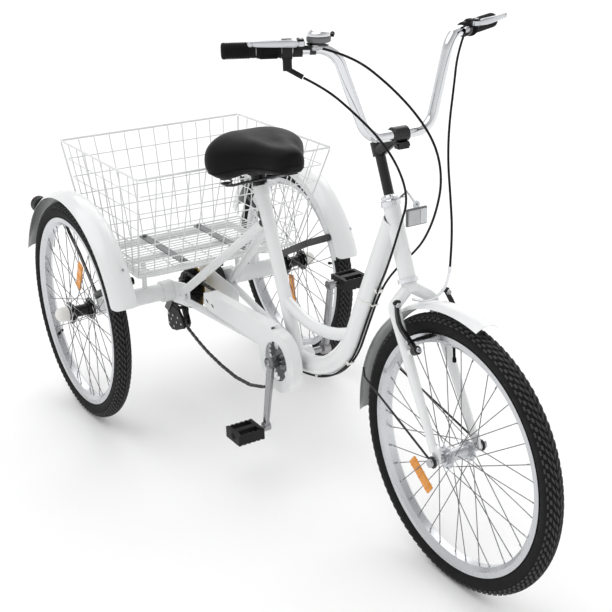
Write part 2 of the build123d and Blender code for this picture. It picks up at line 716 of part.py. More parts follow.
def front_reflector():
    """A white reflector on a bracket under the headset's top nut."""
    ring_at = (Vector(HEAD_HIGH) - Vector(HEAD_LOW)).length
    low, high = on_steering_axis(ring_at + 10.5), on_steering_axis(ring_at + 13)
    ring = rod(low, high, 19.0, STEERER_R + RUNNING)
    nut = rod(high, on_steering_axis(ring_at + 22), 18.0, STEERER_R + RUNNING)
    ahead = Vector(STEER.Z, 0, -STEER.X)
    middle = (low + high) * 0.5
    tab = Plane(origin=middle + ahead * 30, x_dir=ahead, z_dir=STEER) * Box(26, 12, 2.0)
    arm = tab + pipe((tuple(middle + ahead * 40), (1026.0, 0.0, 822.0), (1052.0, 0.0, 806.0)), 5.0, 2.5)
    back = block((1050, -26.5, 762), (1056, 26.5, 800))
    back = fillet(back.edges().filter_by(Axis.X), 8)
    back += block((1050, -8, 798), (1054, 8, 812))
    lens = block((1056, -24, 765), (1060, 24, 797))
    lens = fillet(lens.edges().filter_by(Axis.X), 6)
    return [ring + nut + arm + back, lens]


def front_axle():
    made = rod((WHEELBASE, -74, WHEEL_R), (WHEELBASE, 74, WHEEL_R), 5.0)
    for side in (-1, 1):
        low, high = sorted((side * 38.5, side * 50.0))
        made += disc(9, low, high, centre=(WHEELBASE, WHEEL_R))
        low, high = sorted((side * 57.0, side * 62.5))
        made += disc(10, low, high, centre=(WHEELBASE, WHEEL_R))
        low, high = sorted((side * 67.0, side * 74.5))
        made += disc(9, low, high, centre=(WHEELBASE, WHEEL_R))
    return made


# ---------------------------------------------------------------- drive
def crank_end(side):
    """The pedal end of a crank arm, in (x, z) from the bottom bracket; side -1 is the right arm."""
    lean = radians(CRANK_ANGLE)
    way = -side
    return Vector(way * CRANK_LENGTH * sin(lean), 0, -way * CRANK_LENGTH * cos(lean))


def crankset():
    """Spindle, two crank arms, chainring and the two pedal spindles."""
    centre = Vector(*BB)
    spindle = rod(centre + Vector(0, -84, 0), centre + Vector(0, 84, 0), 8.0)
    made = spindle
    for side in (-1, 1):
        end = centre + crank_end(side)
        boss = rod(centre + Vector(0, side * 70, 0), centre + Vector(0, side * 90, 0), 15.0)
        arm = taper(centre + Vector(0, side * 80, 0), end + Vector(0, side * 112, 0), 10.5, 8.0)
        eye = rod(end + Vector(0, side * 103, 0), end + Vector(0, side * 119, 0), 12.0)
        pin = rod(end + Vector(0, side * 103, 0), end + Vector(0, side * 209, 0), 5.0)
        made += boss + arm + eye + pin
    ring = sprocket(CHAINRING_TEETH, CHAINRING_Y - 0.7, CHAINRING_Y + 0.7, 8.0, slots=5)
    ring += disc(26.0, CHAINRING_Y - 8, CHAINRING_Y, bore=8.0)
    ring += disc(16.0, -71, CHAINRING_Y - 6, bore=8.0)
    return made + Pos(BB[0], 0, BB[2]) * ring


def pedal(side):
    """A plastic platform pedal with two windows and toothed edges."""
    end = Vector(*BB) + crank_end(side)
    body = Box(PEDAL_LONG, PEDAL_WIDE, PEDAL_THICK)
    for x in (-18, 18):
        body -= Pos(x, 0, 0) * Box(20, PEDAL_WIDE - 20, 40)
    for x in (-PEDAL_LONG / 2 + 5, PEDAL_LONG / 2 - 5):
        for i in range(5):
            for top in (-PEDAL_THICK / 2 - 1, PEDAL_THICK / 2 + 1):
                body -= Pos(x, (i - 2) * 13, top) * Box(14, 5, 6)
    body = Pos(end.X, side * PEDAL_Y, end.Z) * body
    return body - rod(end + Vector(0, side * 100, 0), end + Vector(0, side * 212, 0), 5.0 + RUNNING)


def cassette():
    """Seven cogs on a freewheel body, and the disc that keeps the chain off the plate."""
    body = disc(20.0, FIRST_COG_Y - 6, FIRST_COG_Y + 7 * COG_STEP + 4, bore=AXLE_R + RUNNING)
    for i, teeth in enumerate(COG_TEETH):
        y = FIRST_COG_Y + i * COG_STEP
        body += sprocket(teeth, y - 0.8, y + 0.8, AXLE_R + RUNNING)
    guard_y = FIRST_COG_Y + 7 * COG_STEP
    guard = disc(68.0, guard_y + 1, guard_y + 2.2, bore=20.0)
    return [Pos(0, 0, WHEEL_R) * body, Pos(0, 0, WHEEL_R) * guard]


COG_Y = FIRST_COG_Y + CHAIN_COG * COG_STEP
GUIDE_PULLEY = (-30.0, 228.0)
TENSION_PULLEY = (-12.0, 184.0)
PULLEY_R = 19.0


def chain_route():
    """(x, z) circles that the chain runs round, with its turning side: clockwise is -1."""
    ring_r = CHAINRING_TEETH * PITCH / (2 * pi)
    cog_r = COG_TEETH[CHAIN_COG] * PITCH / (2 * pi)
    return [((BB[0], BB[2]), ring_r, 1), ((0.0, WHEEL_R), cog_r, 1),
            (GUIDE_PULLEY, PULLEY_R, -1), (TENSION_PULLEY, PULLEY_R, 1)]


def strip(centre, r, a_from, a_to, y):
    """A chain's two side plates round an arc, from one angle to another in degrees."""
    made = []
    for offset in (-2.4, 2.4):
        section = Pos(r, y + offset) * Rectangle(7.6, 0.9)
        ring = turned(section, a_from, a_to - a_from)
        made.append(Pos(centre[0], 0, centre[1]) * ring)
    return made


def chain():
    """The chain as side plates round the sprockets and a bar along each free run."""
    ring, cog, guide, tension = chain_route()
    top_a, top_b = tangent(ring[0], ring[1], 1, cog[0], cog[1], 1)
    made = flat_bars((top_a[0] - 3, CHAINRING_Y, top_a[1]), (top_b[0] + 3, COG_Y, top_b[1]))
    made += strip(ring[0], ring[1], -88.0, 86.0, CHAINRING_Y)
    made += strip(cog[0], cog[1], 96.0, 262.0, COG_Y)
    start = (TENSION_PULLEY[0] - 4, COG_Y, TENSION_PULLEY[1] - PULLEY_R - 5)
    low = (BB[0] - 20, CHAINRING_Y, BB[2] - ring[1] - 1)
    sag = (start, (122.0, -23.0, 134.0), (298.0, -31.0, 129.0), (466.0, -39.0, 168.0), low)
    path = FilletPolyline(*sag, radius=arc_radii(sag))
    for offset in (-2.4, 2.4):
        section = Pos(offset, 0) * Rectangle(0.9, 7.6)
        made.append(sweep(Plane(origin=path @ 0, x_dir=(0, 1, 0), z_dir=path % 0) * section, path=path))
    return made


def flat_bars(a, b):
    a, b = Vector(*a), Vector(*b)
    along = b - a
    plane = Plane(origin=a, x_dir=Vector(0, 0, 1).cross(along).normalized(), z_dir=along)
    return [extrude(plane * (Pos(o, 0) * Rectangle(0.9, 7.6)), amount=along.length) for o in (-2.4, 2.4)]


GUARD_Y, GUARD_DEPTH = -66.0, 28.0


def chain_guard():
    """The outer chain guard: a shallow cover with a round window, and the plate behind the cogs."""
    cover = guard_outline(0.0, GUARD_Y, GUARD_Y + GUARD_DEPTH)
    hollow = guard_outline(1.8, GUARD_Y + 1.8, GUARD_Y + GUARD_DEPTH + 1)
    cover -= hollow
    cover -= disc(51.0, GUARD_Y - 1, GUARD_Y + 3, centre=(BB[0], BB[2]))
    cover -= block((BB[0] - 66, GUARD_Y + 14, 196), (BB[0] - 18, GUARD_Y + 40, 250))
    cover = largest(cover)
    outline = [(-30, 368), (20, 372), (70, 356), (205, 340), (205, 284), (110, 268), (-30, 262)]
    back = plate_xz(outline, 38.0, 40.0) - disc(15, 30, 50, centre=(0, WHEEL_R))
    return [cover, back]


def guard_outline(inset, y_low, y_high):
    ring = disc(81.0 - inset, y_low, y_high, centre=(BB[0], BB[2]))
    arm = [(BB[0] - 20, 381 - inset), (225 + inset, 366 - inset), (200 + inset, 356 - inset),
           (198 + inset, 322 + inset), (230 + inset, 313 + inset), (BB[0] - 20, 313 + inset)]
    return ring + plate_xz(arm, y_low, y_high)


def band_brake():
    """The fixed shell of the rear band brake, on the left plate, with its drum inside."""
    shell = disc(46.0, 62.0, 86.0, bore=16.0, centre=(0, WHEEL_R))
    shell -= disc(43.0, 64.0, 90.0, centre=(0, WHEEL_R))
    hanger = block((-12, 62, 344.5), (12, 97, 352))
    return largest(shell + hanger)


def brake_arm():
    """The lever that tightens the band, on a pin below the brake's shell."""
    pin = (34.0, 250.0)
    arm = flat_stay([pin, (70, 232)], 88.0, 92.0, 12.0)
    return arm + disc(5.0, 80.0, 96.0, centre=pin)


def rear_axle():
    """The through axle: it turns with the left wheel and carries the cogs' freewheel."""
    shaft = rod((0, -(REAR_HUB_Y + 50), WHEEL_R), (0, REAR_HUB_Y + 50, WHEEL_R), AXLE_R)
    drum = disc(40.0, 68.0, 82.0, bore=AXLE_R, centre=(0, WHEEL_R))
    nuts = disc(13.0, REAR_HUB_Y + 38, REAR_HUB_Y + 50, bore=AXLE_R, centre=(0, WHEEL_R))
    return shaft + drum + nuts


# ---------------------------------------------------------------- derailleur
DERAILLEUR_PIN = (-52.0, 234.0)
PIN_R = 4.0


def derailleur_base():
    """The hanger bolted to the right plate, and the pin that the moving arm slides along."""
    hanger = plate_xz([(-19, 284), (10, 284), (-38, 222), (-64, 228)], -65.0, -60.0)
    hanger += disc(11.0, -60.0, -57.0, centre=DERAILLEUR_PIN)
    return hanger + disc(PIN_R, -60.0, -14.0, centre=DERAILLEUR_PIN)


def derailleur_arm():
    """The part that moves in and out across the cogs, and carries the cage."""
    body = disc(10.0, -41.5, -31.0, centre=DERAILLEUR_PIN)
    body += flat_stay([DERAILLEUR_PIN, GUIDE_PULLEY], -38.0, -34.0, 14.0)
    body += disc(5.0, -36.0, COG_Y - 8, centre=GUIDE_PULLEY)
    return body - disc(PIN_R + RUNNING, -60.0, -10.0, centre=DERAILLEUR_PIN)


def derailleur_cage():
    """Two cage plates, the guide pulley and the tension pulley. It swings about the guide pulley."""
    y = COG_Y
    made = None
    for offset in (-5.5, 5.5):
        plate = flat_stay([GUIDE_PULLEY, TENSION_PULLEY], y + offset - 1, y + offset + 1, 16.0)
        made = plate if made is None else made + plate
    for centre in (GUIDE_PULLEY, TENSION_PULLEY):
        made += disc(5.0, y - 6, y + 6, centre=centre)
        made += disc(15.0, y - 1.4, y + 1.4, centre=centre)
    return made


# ---------------------------------------------------------------- saddle
POST_AXIS = (Vector(SEAT_LUG) - Vector(BB)).normalized()


def seat_post():
    top = Vector(SEAT_LUG) + POST_AXIS * 44
    return rod(Vector(SEAT_LUG) - POST_AXIS * 150, top, POST_R)


SADDLE_MIDDLE, SADDLE_HALF, SADDLE_WIDE = 451.0, 135.0, 135.0
SADDLE_LOW, SADDLE_HIGH, POCKET_TOP = 738.0, 834.0, 770.0
SPRING_X, SPRING_Y = 352.0, 60.0


def saddle_frame():
    """Clamp, two rails and two coil springs under the saddle's base."""
    top = Vector(SEAT_LUG) + POST_AXIS * 20
    clamp = rod(top, top + POST_AXIS * 30, 19.0, POST_R)
    clamp += Pos(top.X - 4, 0, top.Z + 36) * Box(38, 62, 16)
    for side in (-1, 1):
        middle = (top.X + 8, side * 22, top.Z + 38)
        clamp += rod((568, side * 12, 763), middle, 4.0)
        clamp += rod(middle, (SPRING_X, side * SPRING_Y, 746), 4.0)
        clamp += rod((SPRING_X, side * SPRING_Y, 741), (SPRING_X, side * SPRING_Y, 769), 15.0)
    clamp += rod((SPRING_X, -62, 745), (SPRING_X, 62, 745), 4.0)
    clamp += plate_xz([(552, 760), (571, 760), (571, POCKET_TOP - 0.3), (552, POCKET_TOP - 0.3)], -16, 16)
    return clamp - rod(top - POST_AXIS * 5, top + POST_AXIS * 24.1, POST_R)


def saddle_outline(share):
    """The saddle seen from above, drawn in to a share of its full size."""
    nose, wide = SADDLE_HALF, SADDLE_WIDE
    half = [(-nose + 14, 0.64 * wide), (-nose + 66, 0.985 * wide), (-nose + 126, 0.86 * wide),
            (nose - 84, 0.42 * wide), (nose - 20, 0.28 * wide)]
    points = [(-nose, 0)] + half + [(nose, 0)] + [(x, -y) for x, y in reversed(half)]
    scaled = [(SADDLE_MIDDLE + x * share, y * share) for x, y in points]
    return make_face(Spline(*scaled, periodic=True))


def saddle():
    """The padded saddle's overall shape: wide at the back, with a short nose and hollow below."""
    high = SADDLE_HIGH - SADDLE_LOW
    body = extrude(Plane.XY.offset(SADDLE_LOW) * saddle_outline(1.0), amount=high)
    body = fillet(body.edges().group_by(Axis.Z)[-1], 26)
    deep = POCKET_TOP - SADDLE_LOW + 1
    return body - extrude(Plane.XY.offset(SADDLE_LOW - 1) * saddle_outline(0.92), amount=deep)


def rear_reflectors():
    """A black cup with a red lens on the back of each rear fender."""
    made = []
    for side in (-1, 1):
        angle = radians(138)
        out = Vector(cos(angle), 0, sin(angle))
        seat = Vector(0, side * FENDER_MIDDLE, WHEEL_R) + out * (FENDER_R + 0.3)
        back = Vector(-1, 0, 0)
        cup = rod(seat + Vector(6, 0, 14), seat + Vector(6, 0, 14) + back * 30, 24.0)
        foot = rod(seat, seat + out * 12, 9.0)
        lens = rod(seat + Vector(6, 0, 14) + back * 30, seat + Vector(6, 0, 14) + back * 34, 22.0)
        fender = disc(FENDER_R, *sorted((side * 300, side * 380)), centre=(0, WHEEL_R))
        made += [largest(cup + foot - fender), lens]
    return made


# ---------------------------------------------------------------- cables
def cable(points, radius):
    path = FilletPolyline(*points, radius=arc_radii(points))
    return sweep(Plane(origin=path @ 0, z_dir=path % 0) * Circle(radius), path=path)


def check_cable(name, points, radius):
    """Prints the route's bends, and the tube's volume against its section times its length."""
    path = FilletPolyline(*points, radius=arc_radii(points))
    solid = cable(points, radius)
    runs = [(Vector(b) - Vector(a)).length for a, b in zip(points, points[1:])]
    share = solid.volume / (pi * radius ** 2 * path.length)
    print(name, "length", round(path.length), "tightest", round(min(arc_radii(points)), 1),
          "runs", round(min(runs)), round(max(runs)), "volume share", round(share, 4))


TUBE_DOWN = (Vector(TUBE_CORNER) - Vector(TUBE_TOP)).normalized()
TUBE_UNDER = Vector(-TUBE_DOWN.Z, 0, TUBE_DOWN.X)
UNDER_GAP = DOWN_TUBE_R + CABLE_R + 1.2       # from the tube's centre line to a cable under it


def bend_centre():
    """The middle of the down tube's bend."""
    turn = radians(TUBE_DOWN.get_angle(Vector(-1, 0, 0)))
    back = TUBE_BEND * tan(turn / 2)
    return Vector(TUBE_CORNER[0] - back, 0, TUBE_CORNER[2] + TUBE_BEND)


def under_tube(distance, y):
    """A point on a cable that lies along the down tube's underside, from the tube's top end."""
    at = Vector(*TUBE_TOP) + TUBE_DOWN * distance + TUBE_UNDER * UNDER_GAP
    return (at.X, y, at.Z)


def under_bend(angle, y):
    """A point on a cable under the tube's bend, at an angle in degrees from straight down."""
    out = Vector(sin(radians(angle)), 0, -cos(radians(angle)))
    at = bend_centre() + out * (TUBE_BEND + UNDER_GAP + 2.8)
    return (at.X, y, at.Z)


REAR_BRAKE_ROUTE = (
    (974.5, -179.8, 1128.0), (1006.0, -125.0, 1112.0), (1060.0, -75.0, 1058.0), (1105.0, -38.0, 1000.0),
    (1130.0, -12.0, 940.0), (1133.0, 0.0, 872.0), (1106.0, 8.0, 800.0), (1066.0, 16.0, 738.0),
    (1016.0, 28.0, 690.0), (966.0, 16.0, 640.0), under_tube(175.0, 5.0), under_tube(300.0, 4.5),
    under_bend(58.0, 5.0), under_bend(43.0, 4.5), under_bend(28.0, 5.0), under_bend(13.0, 4.5),
    (560.0, 12.0, 258.0), (430.0, 42.0, 272.0), (260.0, 68.0, 276.0), (150.0, 84.0, 262.0),
    (84.0, 90.0, 238.0),
)
SHIFT_ROUTE = (
    (957.0, -204.0, 1071.0), (976.0, -165.0, 1048.0), (1012.0, -126.0, 1004.0), (1050.0, -86.0, 950.0),
    (1076.0, -60.0, 892.0), (1086.0, -47.0, 832.0), (1050.0, -38.0, 768.0), (1012.0, -29.0, 700.0),
    (973.0, -18.0, 640.0), under_tube(181.0, -4.5), under_tube(300.0, -5.0),
    under_bend(58.0, -4.5), under_bend(43.0, -5.0), under_bend(28.0, -4.5), under_bend(13.0, -5.0),
    (560.0, -12.0, 258.0), (500.0, -14.0, 268.0), (430.0, -19.0, 284.0), (260.0, -34.0, 289.0),
    (160.0, -44.0, 286.0), (100.0, -50.0, 276.0), (50.0, -53.0, 266.0), (10.0, -52.0, 258.0),
    (-36.0, -51.0, 246.0),
)
FRONT_BRAKE_ROUTE = (
    (974.5, 179.8, 1128.0), (1006.0, 134.0, 1092.0), (1034.0, 104.0, 1030.0), (1054.0, 78.0, 960.0),
    (1080.0, 56.0, 894.0), (1114.0, 38.0, 826.0), (1140.0, 24.0, 758.0), (1147.0, 14.0, 694.0),
)


def front_brake_parts():
    """The front brake's cable and its curved metal end pipe, which stops ahead of the arms."""
    end = Vector(*FRONT_BRAKE_ROUTE[-1])
    noodle = pipe((tuple(end), (1146.0, 8.0, 652.0), (1120.0, -16.0, 624.0), (1085.0, -31.0, 617.0)), 18.0, 2.8)
    return [cable(FRONT_BRAKE_ROUTE, CABLE_R), noodle]


def cable_clips(cables):
    """Three saddles and a thin tie that hold the two long cables under the down tube."""
    tube = solid_down_tube()
    straight = Vector(*TUBE_TOP) + TUBE_DOWN * 181
    places = [(straight, TUBE_UNDER, TUBE_DOWN)]
    for angle in (49.0, 16.3):
        out = Vector(sin(radians(angle)), 0, -cos(radians(angle)))
        places.append((bend_centre() + out * TUBE_BEND, out, Vector(out.Z, 0, -out.X)))
    made = []
    for centre, under, along in places:
        pad = Plane(origin=centre + under * (DOWN_TUBE_R + 3.5), x_dir=under, z_dir=along) * Box(9, 18, 9)
        pad -= tube
        for c in cables:
            pad -= c
        made.append(largest(pad))
    tie_at = Vector(*TUBE_TOP) + TUBE_DOWN * 222
    tie = rod(tie_at, tie_at + TUBE_DOWN * 3, DOWN_TUBE_R + 1.0)
    pad = Plane(origin=tie_at + TUBE_DOWN * 1.5 + TUBE_UNDER * (DOWN_TUBE_R + 3.5),
                x_dir=TUBE_UNDER, z_dir=TUBE_DOWN) * Box(9, 18, 3)
    tie = tie + pad - rod(tie_at - TUBE_DOWN, tie_at + TUBE_DOWN * 4, DOWN_TUBE_R)
    for c in cables:
        tie -= c
    made.append(largest(tie))
    return made


def main():
    os.makedirs("parts", exist_ok=True)
    hub_right = Pos(0, -REAR_HUB_Y, WHEEL_R)
    hub_left = Pos(0, REAR_HUB_Y, WHEEL_R)
    front = Pos(*FRONT_AXLE)
    save("front_tyre", front * tyre())
    save("rear_tyre_right", hub_right * tyre())
    save("rear_tyre_left", hub_left * tyre())
    front_lacing = [front * s for s in spokes(21.0, 29.0, front_hub())]
    save("front_rim", front * rim(), front * front_hub(), *front_lacing)
    lacing = spokes(27.0, 29.15, rear_hub(AXLE_R))
    save("rear_rim_right", hub_right * rim(), *[hub_right * s for s in lacing])
    save("rear_rim_left", hub_left * rim(), *[hub_left * s for s in lacing])
    save("rear_hub_right", hub_right * rear_hub(AXLE_R + RUNNING), hub_right * hub_cap(-1))
    save("rear_hub_left", hub_left * rear_hub(AXLE_R), hub_left * hub_cap(1))
    save("front_wheel_reflector", front * wheel_reflector(223.0, -13.0, 140.0, 80.0))
    save("rear_wheel_reflector_right", hub_right * wheel_reflector(66.0, -13.0, 132.0))
    save("rear_wheel_reflector_left", hub_left * wheel_reflector(277.0, -13.0, 80.0))
    save("head_tube", head_tube())
    save("down_tube", down_tube())
    save("seat_tube", seat_tube())
    save("frame_brace", frame_brace())
    save("bottom_bracket_shell", shell_tube())
    save("rear_stays", *rear_stays())
    save("axle_housings", *axle_housings(), *rear_plates())
    save("bearing_cups", *bearing_cups())
    save("carrier_frame", carrier_frame())
    save("seat_clamp", seat_clamp())
    save("basket", *basket())
    save("basket_straps", *basket_straps())
    save("rear_fenders", rear_fender(-1), rear_fender(1))
    save("rear_fender_stays", *rear_fender_stays())
    save("rear_reflectors", *rear_reflectors())
    fender = front_fender()
    save("front_fender", fender[0])
    save("front_fender_stays", *fender[1:])
    save("fork", fork())
    save("front_axle", front_axle())
    save("v_brake_right", v_brake(-1))
    save("v_brake_left", v_brake(1))
    save("stem", stem())
    save("handlebar", handlebar())
    save("grips", *grips())
    save("twist_grip", twist_grip())
    save("lever_brackets", *lever_brackets())
    save("brake_lever_right", brake_lever(-1))
    save("brake_lever_left", brake_lever(1))
    save("bell", *bell())
    save("bell_trigger", bell_trigger())
    save("front_reflector", *front_reflector())
    save("crankset", crankset())
    save("pedal_right", pedal(-1))
    save("pedal_left", pedal(1))
    save("cassette", *cassette())
    save("chain", *chain())
    save("chain_guard", *chain_guard())
    save("band_brake", band_brake())
    save("brake_arm", brake_arm())
    save("rear_axle", rear_axle())
    save("derailleur_base", derailleur_base())
    save("derailleur_arm", derailleur_arm())
    save("derailleur_cage", derailleur_cage())
    save("seat_post", seat_post(), saddle_frame())
    save("saddle", saddle())
    rear_brake = cable(REAR_BRAKE_ROUTE, CABLE_R)
    shift = cable(SHIFT_ROUTE, CABLE_R)
    save("rear_brake_cable", rear_brake)
    save("shift_cable", shift)
    save("front_brake_cable", *front_brake_parts())
    held = [cable(route, CABLE_R + RUNNING) for route in (REAR_BRAKE_ROUTE, SHIFT_ROUTE)]
    save("cable_clips", *cable_clips(held))
    check_cable("rear_brake_cable", REAR_BRAKE_ROUTE, CABLE_R)
    check_cable("shift_cable", SHIFT_ROUTE, CABLE_R)
    check_cable("front_brake_cable", FRONT_BRAKE_ROUTE, CABLE_R)


main()
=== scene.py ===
from math import copysign, cos, exp, pi, radians, sin, tan
import bpy
import bmesh
from mathutils import Matrix, Vector


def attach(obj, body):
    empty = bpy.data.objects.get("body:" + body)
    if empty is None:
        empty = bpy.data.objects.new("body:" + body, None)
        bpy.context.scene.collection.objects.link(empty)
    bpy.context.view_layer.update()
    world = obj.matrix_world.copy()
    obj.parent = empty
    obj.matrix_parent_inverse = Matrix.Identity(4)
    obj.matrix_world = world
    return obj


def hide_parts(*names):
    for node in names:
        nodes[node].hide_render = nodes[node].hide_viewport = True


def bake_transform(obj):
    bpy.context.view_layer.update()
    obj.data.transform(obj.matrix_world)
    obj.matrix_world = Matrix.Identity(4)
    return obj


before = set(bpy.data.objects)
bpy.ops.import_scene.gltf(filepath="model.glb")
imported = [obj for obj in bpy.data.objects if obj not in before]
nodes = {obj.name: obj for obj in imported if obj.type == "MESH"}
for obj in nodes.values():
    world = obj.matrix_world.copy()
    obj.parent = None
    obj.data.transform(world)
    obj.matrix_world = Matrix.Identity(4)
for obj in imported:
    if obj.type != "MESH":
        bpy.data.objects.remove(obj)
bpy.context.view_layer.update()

MIDDLE = 596.0     # millimetres from the rear axle to the frame's origin


def at(x, y, z):
    """A point given in millimetres ahead of the rear axle, as part.py has it, in the frame's metres."""
    return Vector(((x - MIDDLE) / 1000, y / 1000, z / 1000))


# -------------------- materials
def add_node(tree, kind, **values):
    """Adds a shader node and sets the named inputs, with underscores for the spaces in their names."""
    made = tree.nodes.new(kind)
    for name, value in values.items():
        made.inputs[name.replace("_", " ")].default_value = value
    return made


def material(name, colour, metallic=0.0, rough=0.4, spread=0.08, grain=45.0, mottle=0.06, bump=0.05,
             bump_scale=500.0, coat=0.0, edge_wear_and_highlight=0.0, edge_wear_and_highlight_colour=(0.5, 0.5, 0.5), gloss=0.5):
    """A procedural surface: mottled colour, uneven roughness, fine bump and, if asked, a tint on convex
    edges: wear on most finishes, a painted highlight on the tyre tread.
    """
    mat = bpy.data.materials.new(name)
    mat.use_nodes = True
    tree = mat.node_tree
    shader = tree.nodes["Principled BSDF"]
    shader.inputs["Metallic"].default_value = metallic
    shader.inputs["Specular IOR Level"].default_value = gloss
    shader.inputs["Coat Weight"].default_value = coat
    shader.inputs["Coat Roughness"].default_value = 0.12
    place = tree.nodes.new("ShaderNodeTexCoord")
    broad = add_node(tree, "ShaderNodeTexNoise", Scale=grain, Detail=5.0)
    tree.links.new(place.outputs["Object"], broad.inputs["Vector"])
    mix = tree.nodes.new("ShaderNodeMix")
    mix.data_type = "RGBA"
    mix.inputs["A"].default_value = (*colour, 1)
    mix.inputs["B"].default_value = (*[c * (1 - mottle) for c in colour], 1)
    tree.links.new(broad.outputs["Fac"], mix.inputs["Factor"])
    last = mix.outputs["Result"]
    # Convex edges take another colour: rubbed wear on the enamel, plastic, steel and casing, and painted
    # highlight on the tread blocks.
    if edge_wear_and_highlight:
        geometry = tree.nodes.new("ShaderNodeNewGeometry")
        edge = add_node(tree, "ShaderNodeMapRange", From_Min=0.53, From_Max=0.62, To_Max=edge_wear_and_highlight)
        tree.links.new(geometry.outputs["Pointiness"], edge.inputs["Value"])
        wear_and_highlight_mix = tree.nodes.new("ShaderNodeMix")
        wear_and_highlight_mix.data_type = "RGBA"
        wear_and_highlight_mix.inputs["B"].default_value = (*edge_wear_and_highlight_colour, 1)
        tree.links.new(edge.outputs["Result"], wear_and_highlight_mix.inputs["Factor"])
        tree.links.new(last, wear_and_highlight_mix.inputs["A"])
        last = wear_and_highlight_mix.outputs["Result"]
    tree.links.new(last, shader.inputs["Base Color"])
    uneven = tree.nodes.new("ShaderNodeMapRange")
    uneven.inputs["To Min"].default_value = max(0.02, rough - spread)
    uneven.inputs["To Max"].default_value = min(1.0, rough + spread)
    tree.links.new(broad.outputs["Fac"], uneven.inputs["Value"])
    tree.links.new(uneven.outputs["Result"], shader.inputs["Roughness"])
    fine = add_node(tree, "ShaderNodeTexNoise", Scale=bump_scale, Detail=3.0)
    tree.links.new(place.outputs["Object"], fine.inputs["Vector"])
    relief = add_node(tree, "ShaderNodeBump", Strength=bump, Distance=0.0008)
    tree.links.new(fine.outputs["Fac"], relief.inputs["Height"])
    tree.links.new(relief.outputs["Normal"], shader.inputs["Normal"])
    return mat


def prismatic(name, colour):
    """Moulded reflector plastic: glossy, with a fine grid of prisms."""
    mat = material(name, colour, rough=0.12, spread=0.05, mottle=0.25, bump=0.0, coat=0.6)
    tree = mat.node_tree
    place = tree.nodes.new("ShaderNodeTexCoord")
    cells = add_node(tree, "ShaderNodeTexVoronoi", Scale=900.0, Randomness=0.0)
    tree.links.new(place.outputs["Object"], cells.inputs["Vector"])
    relief = add_node(tree, "ShaderNodeBump", Strength=0.9, Distance=0.001)
    tree.links.new(cells.outputs["Distance"], relief.inputs["Height"])
    tree.links.new(relief.outputs["Normal"], tree.nodes["Principled BSDF"].inputs["Normal"])
    return mat


PAINT = dict(colour=(0.80, 0.81, 0.815), rough=0.24, spread=0.05, grain=12, mottle=0.03, bump=0.03,
             bump_scale=260, coat=0.5)
WHITE = material("white_paint", **PAINT)
WIRE = material("white_coated_wire", (0.78, 0.79, 0.79), rough=0.38, grain=60, mottle=0.12,
                bump=0.15, bump_scale=700, coat=0.1)
BLACK = material("black_enamel", (0.006, 0.006, 0.0065), rough=0.26, spread=0.07, grain=70, mottle=0.3,
                 bump=0.06, bump_scale=600, coat=0.15, edge_wear_and_highlight=0.2, edge_wear_and_highlight_colour=(0.04, 0.04, 0.04), gloss=0.3)
PLASTIC = material("black_moulded_plastic", (0.007, 0.007, 0.0075), rough=0.5, spread=0.1, grain=90,
                   mottle=0.25, bump=0.3, bump_scale=1500, edge_wear_and_highlight=0.2, edge_wear_and_highlight_colour=(0.03, 0.03, 0.03),
                   gloss=0.22)
RUBBER = material("grip_rubber", (0.006, 0.006, 0.006), rough=0.66, spread=0.1, grain=120, mottle=0.3,
                  bump=0.3, bump_scale=1800, gloss=0.15)
TYRE = material("tyre_rubber", (0.009, 0.009, 0.0095), rough=0.74, spread=0.1, grain=60, mottle=0.35,
                bump=0.3, bump_scale=900, edge_wear_and_highlight=0.4, edge_wear_and_highlight_colour=(0.03, 0.03, 0.03), gloss=0.18)
# Painted highlight: the tread blocks get a lighter copy of the casing rubber, with still lighter edges.
TREAD = material("tread_rubber", (0.024, 0.024, 0.025), rough=0.66, spread=0.12, grain=60, mottle=0.35,
                 bump=0.3, bump_scale=900, edge_wear_and_highlight=0.5, edge_wear_and_highlight_colour=(0.07, 0.07, 0.07), gloss=0.3)
ALLOY = material("brushed_alloy", (0.60, 0.61, 0.63), metallic=1, rough=0.26, spread=0.05, grain=40,
                 bump=0.02, bump_scale=900)
STEEL = material("plated_steel", (0.50, 0.50, 0.52), metallic=1, rough=0.22, grain=150,
                 mottle=0.15, bump=0.05, bump_scale=1100)
CRANK = material("polished_crank", (0.36, 0.36, 0.37), metallic=1, rough=0.2, grain=60,
                 mottle=0.15, bump=0.03, bump_scale=900)
CHROME = material("bright_chrome", (0.74, 0.75, 0.77), metallic=1, rough=0.07, spread=0.04, grain=30,
                  mottle=0.05, bump=0.02, bump_scale=200)
DARK_STEEL = material("dark_steel", (0.022, 0.022, 0.023), metallic=0.7, rough=0.36, spread=0.14,
                      grain=180, mottle=0.5, bump=0.2, bump_scale=1300, edge_wear_and_highlight=0.25,
                      edge_wear_and_highlight_colour=(0.14, 0.14, 0.14))
STRAP = material("grey_zinc", (0.20, 0.205, 0.21), metallic=0.7, rough=0.42, spread=0.1, grain=90,
                 mottle=0.3, bump=0.15, bump_scale=900)
BRASS = material("brass_disc", (0.42, 0.30, 0.10), metallic=1, rough=0.3, spread=0.1, grain=120,
                 mottle=0.25, bump=0.1, bump_scale=800)
VINYL = material("saddle_vinyl", (0.006, 0.006, 0.0065), rough=0.46, spread=0.07, grain=35, mottle=0.2,
                 bump=0.25, bump_scale=1100, gloss=0.09)
CABLE = material("cable_housing", (0.006, 0.006, 0.0065), rough=0.42, grain=200, mottle=0.3,
                 bump=0.15, bump_scale=2200, gloss=0.15)
GREY = material("grey_plastic", (0.16, 0.16, 0.165), rough=0.42, grain=80, mottle=0.15,
                bump=0.1, bump_scale=1200)
SPOKE_GREY = (0.17, 0.17, 0.175)
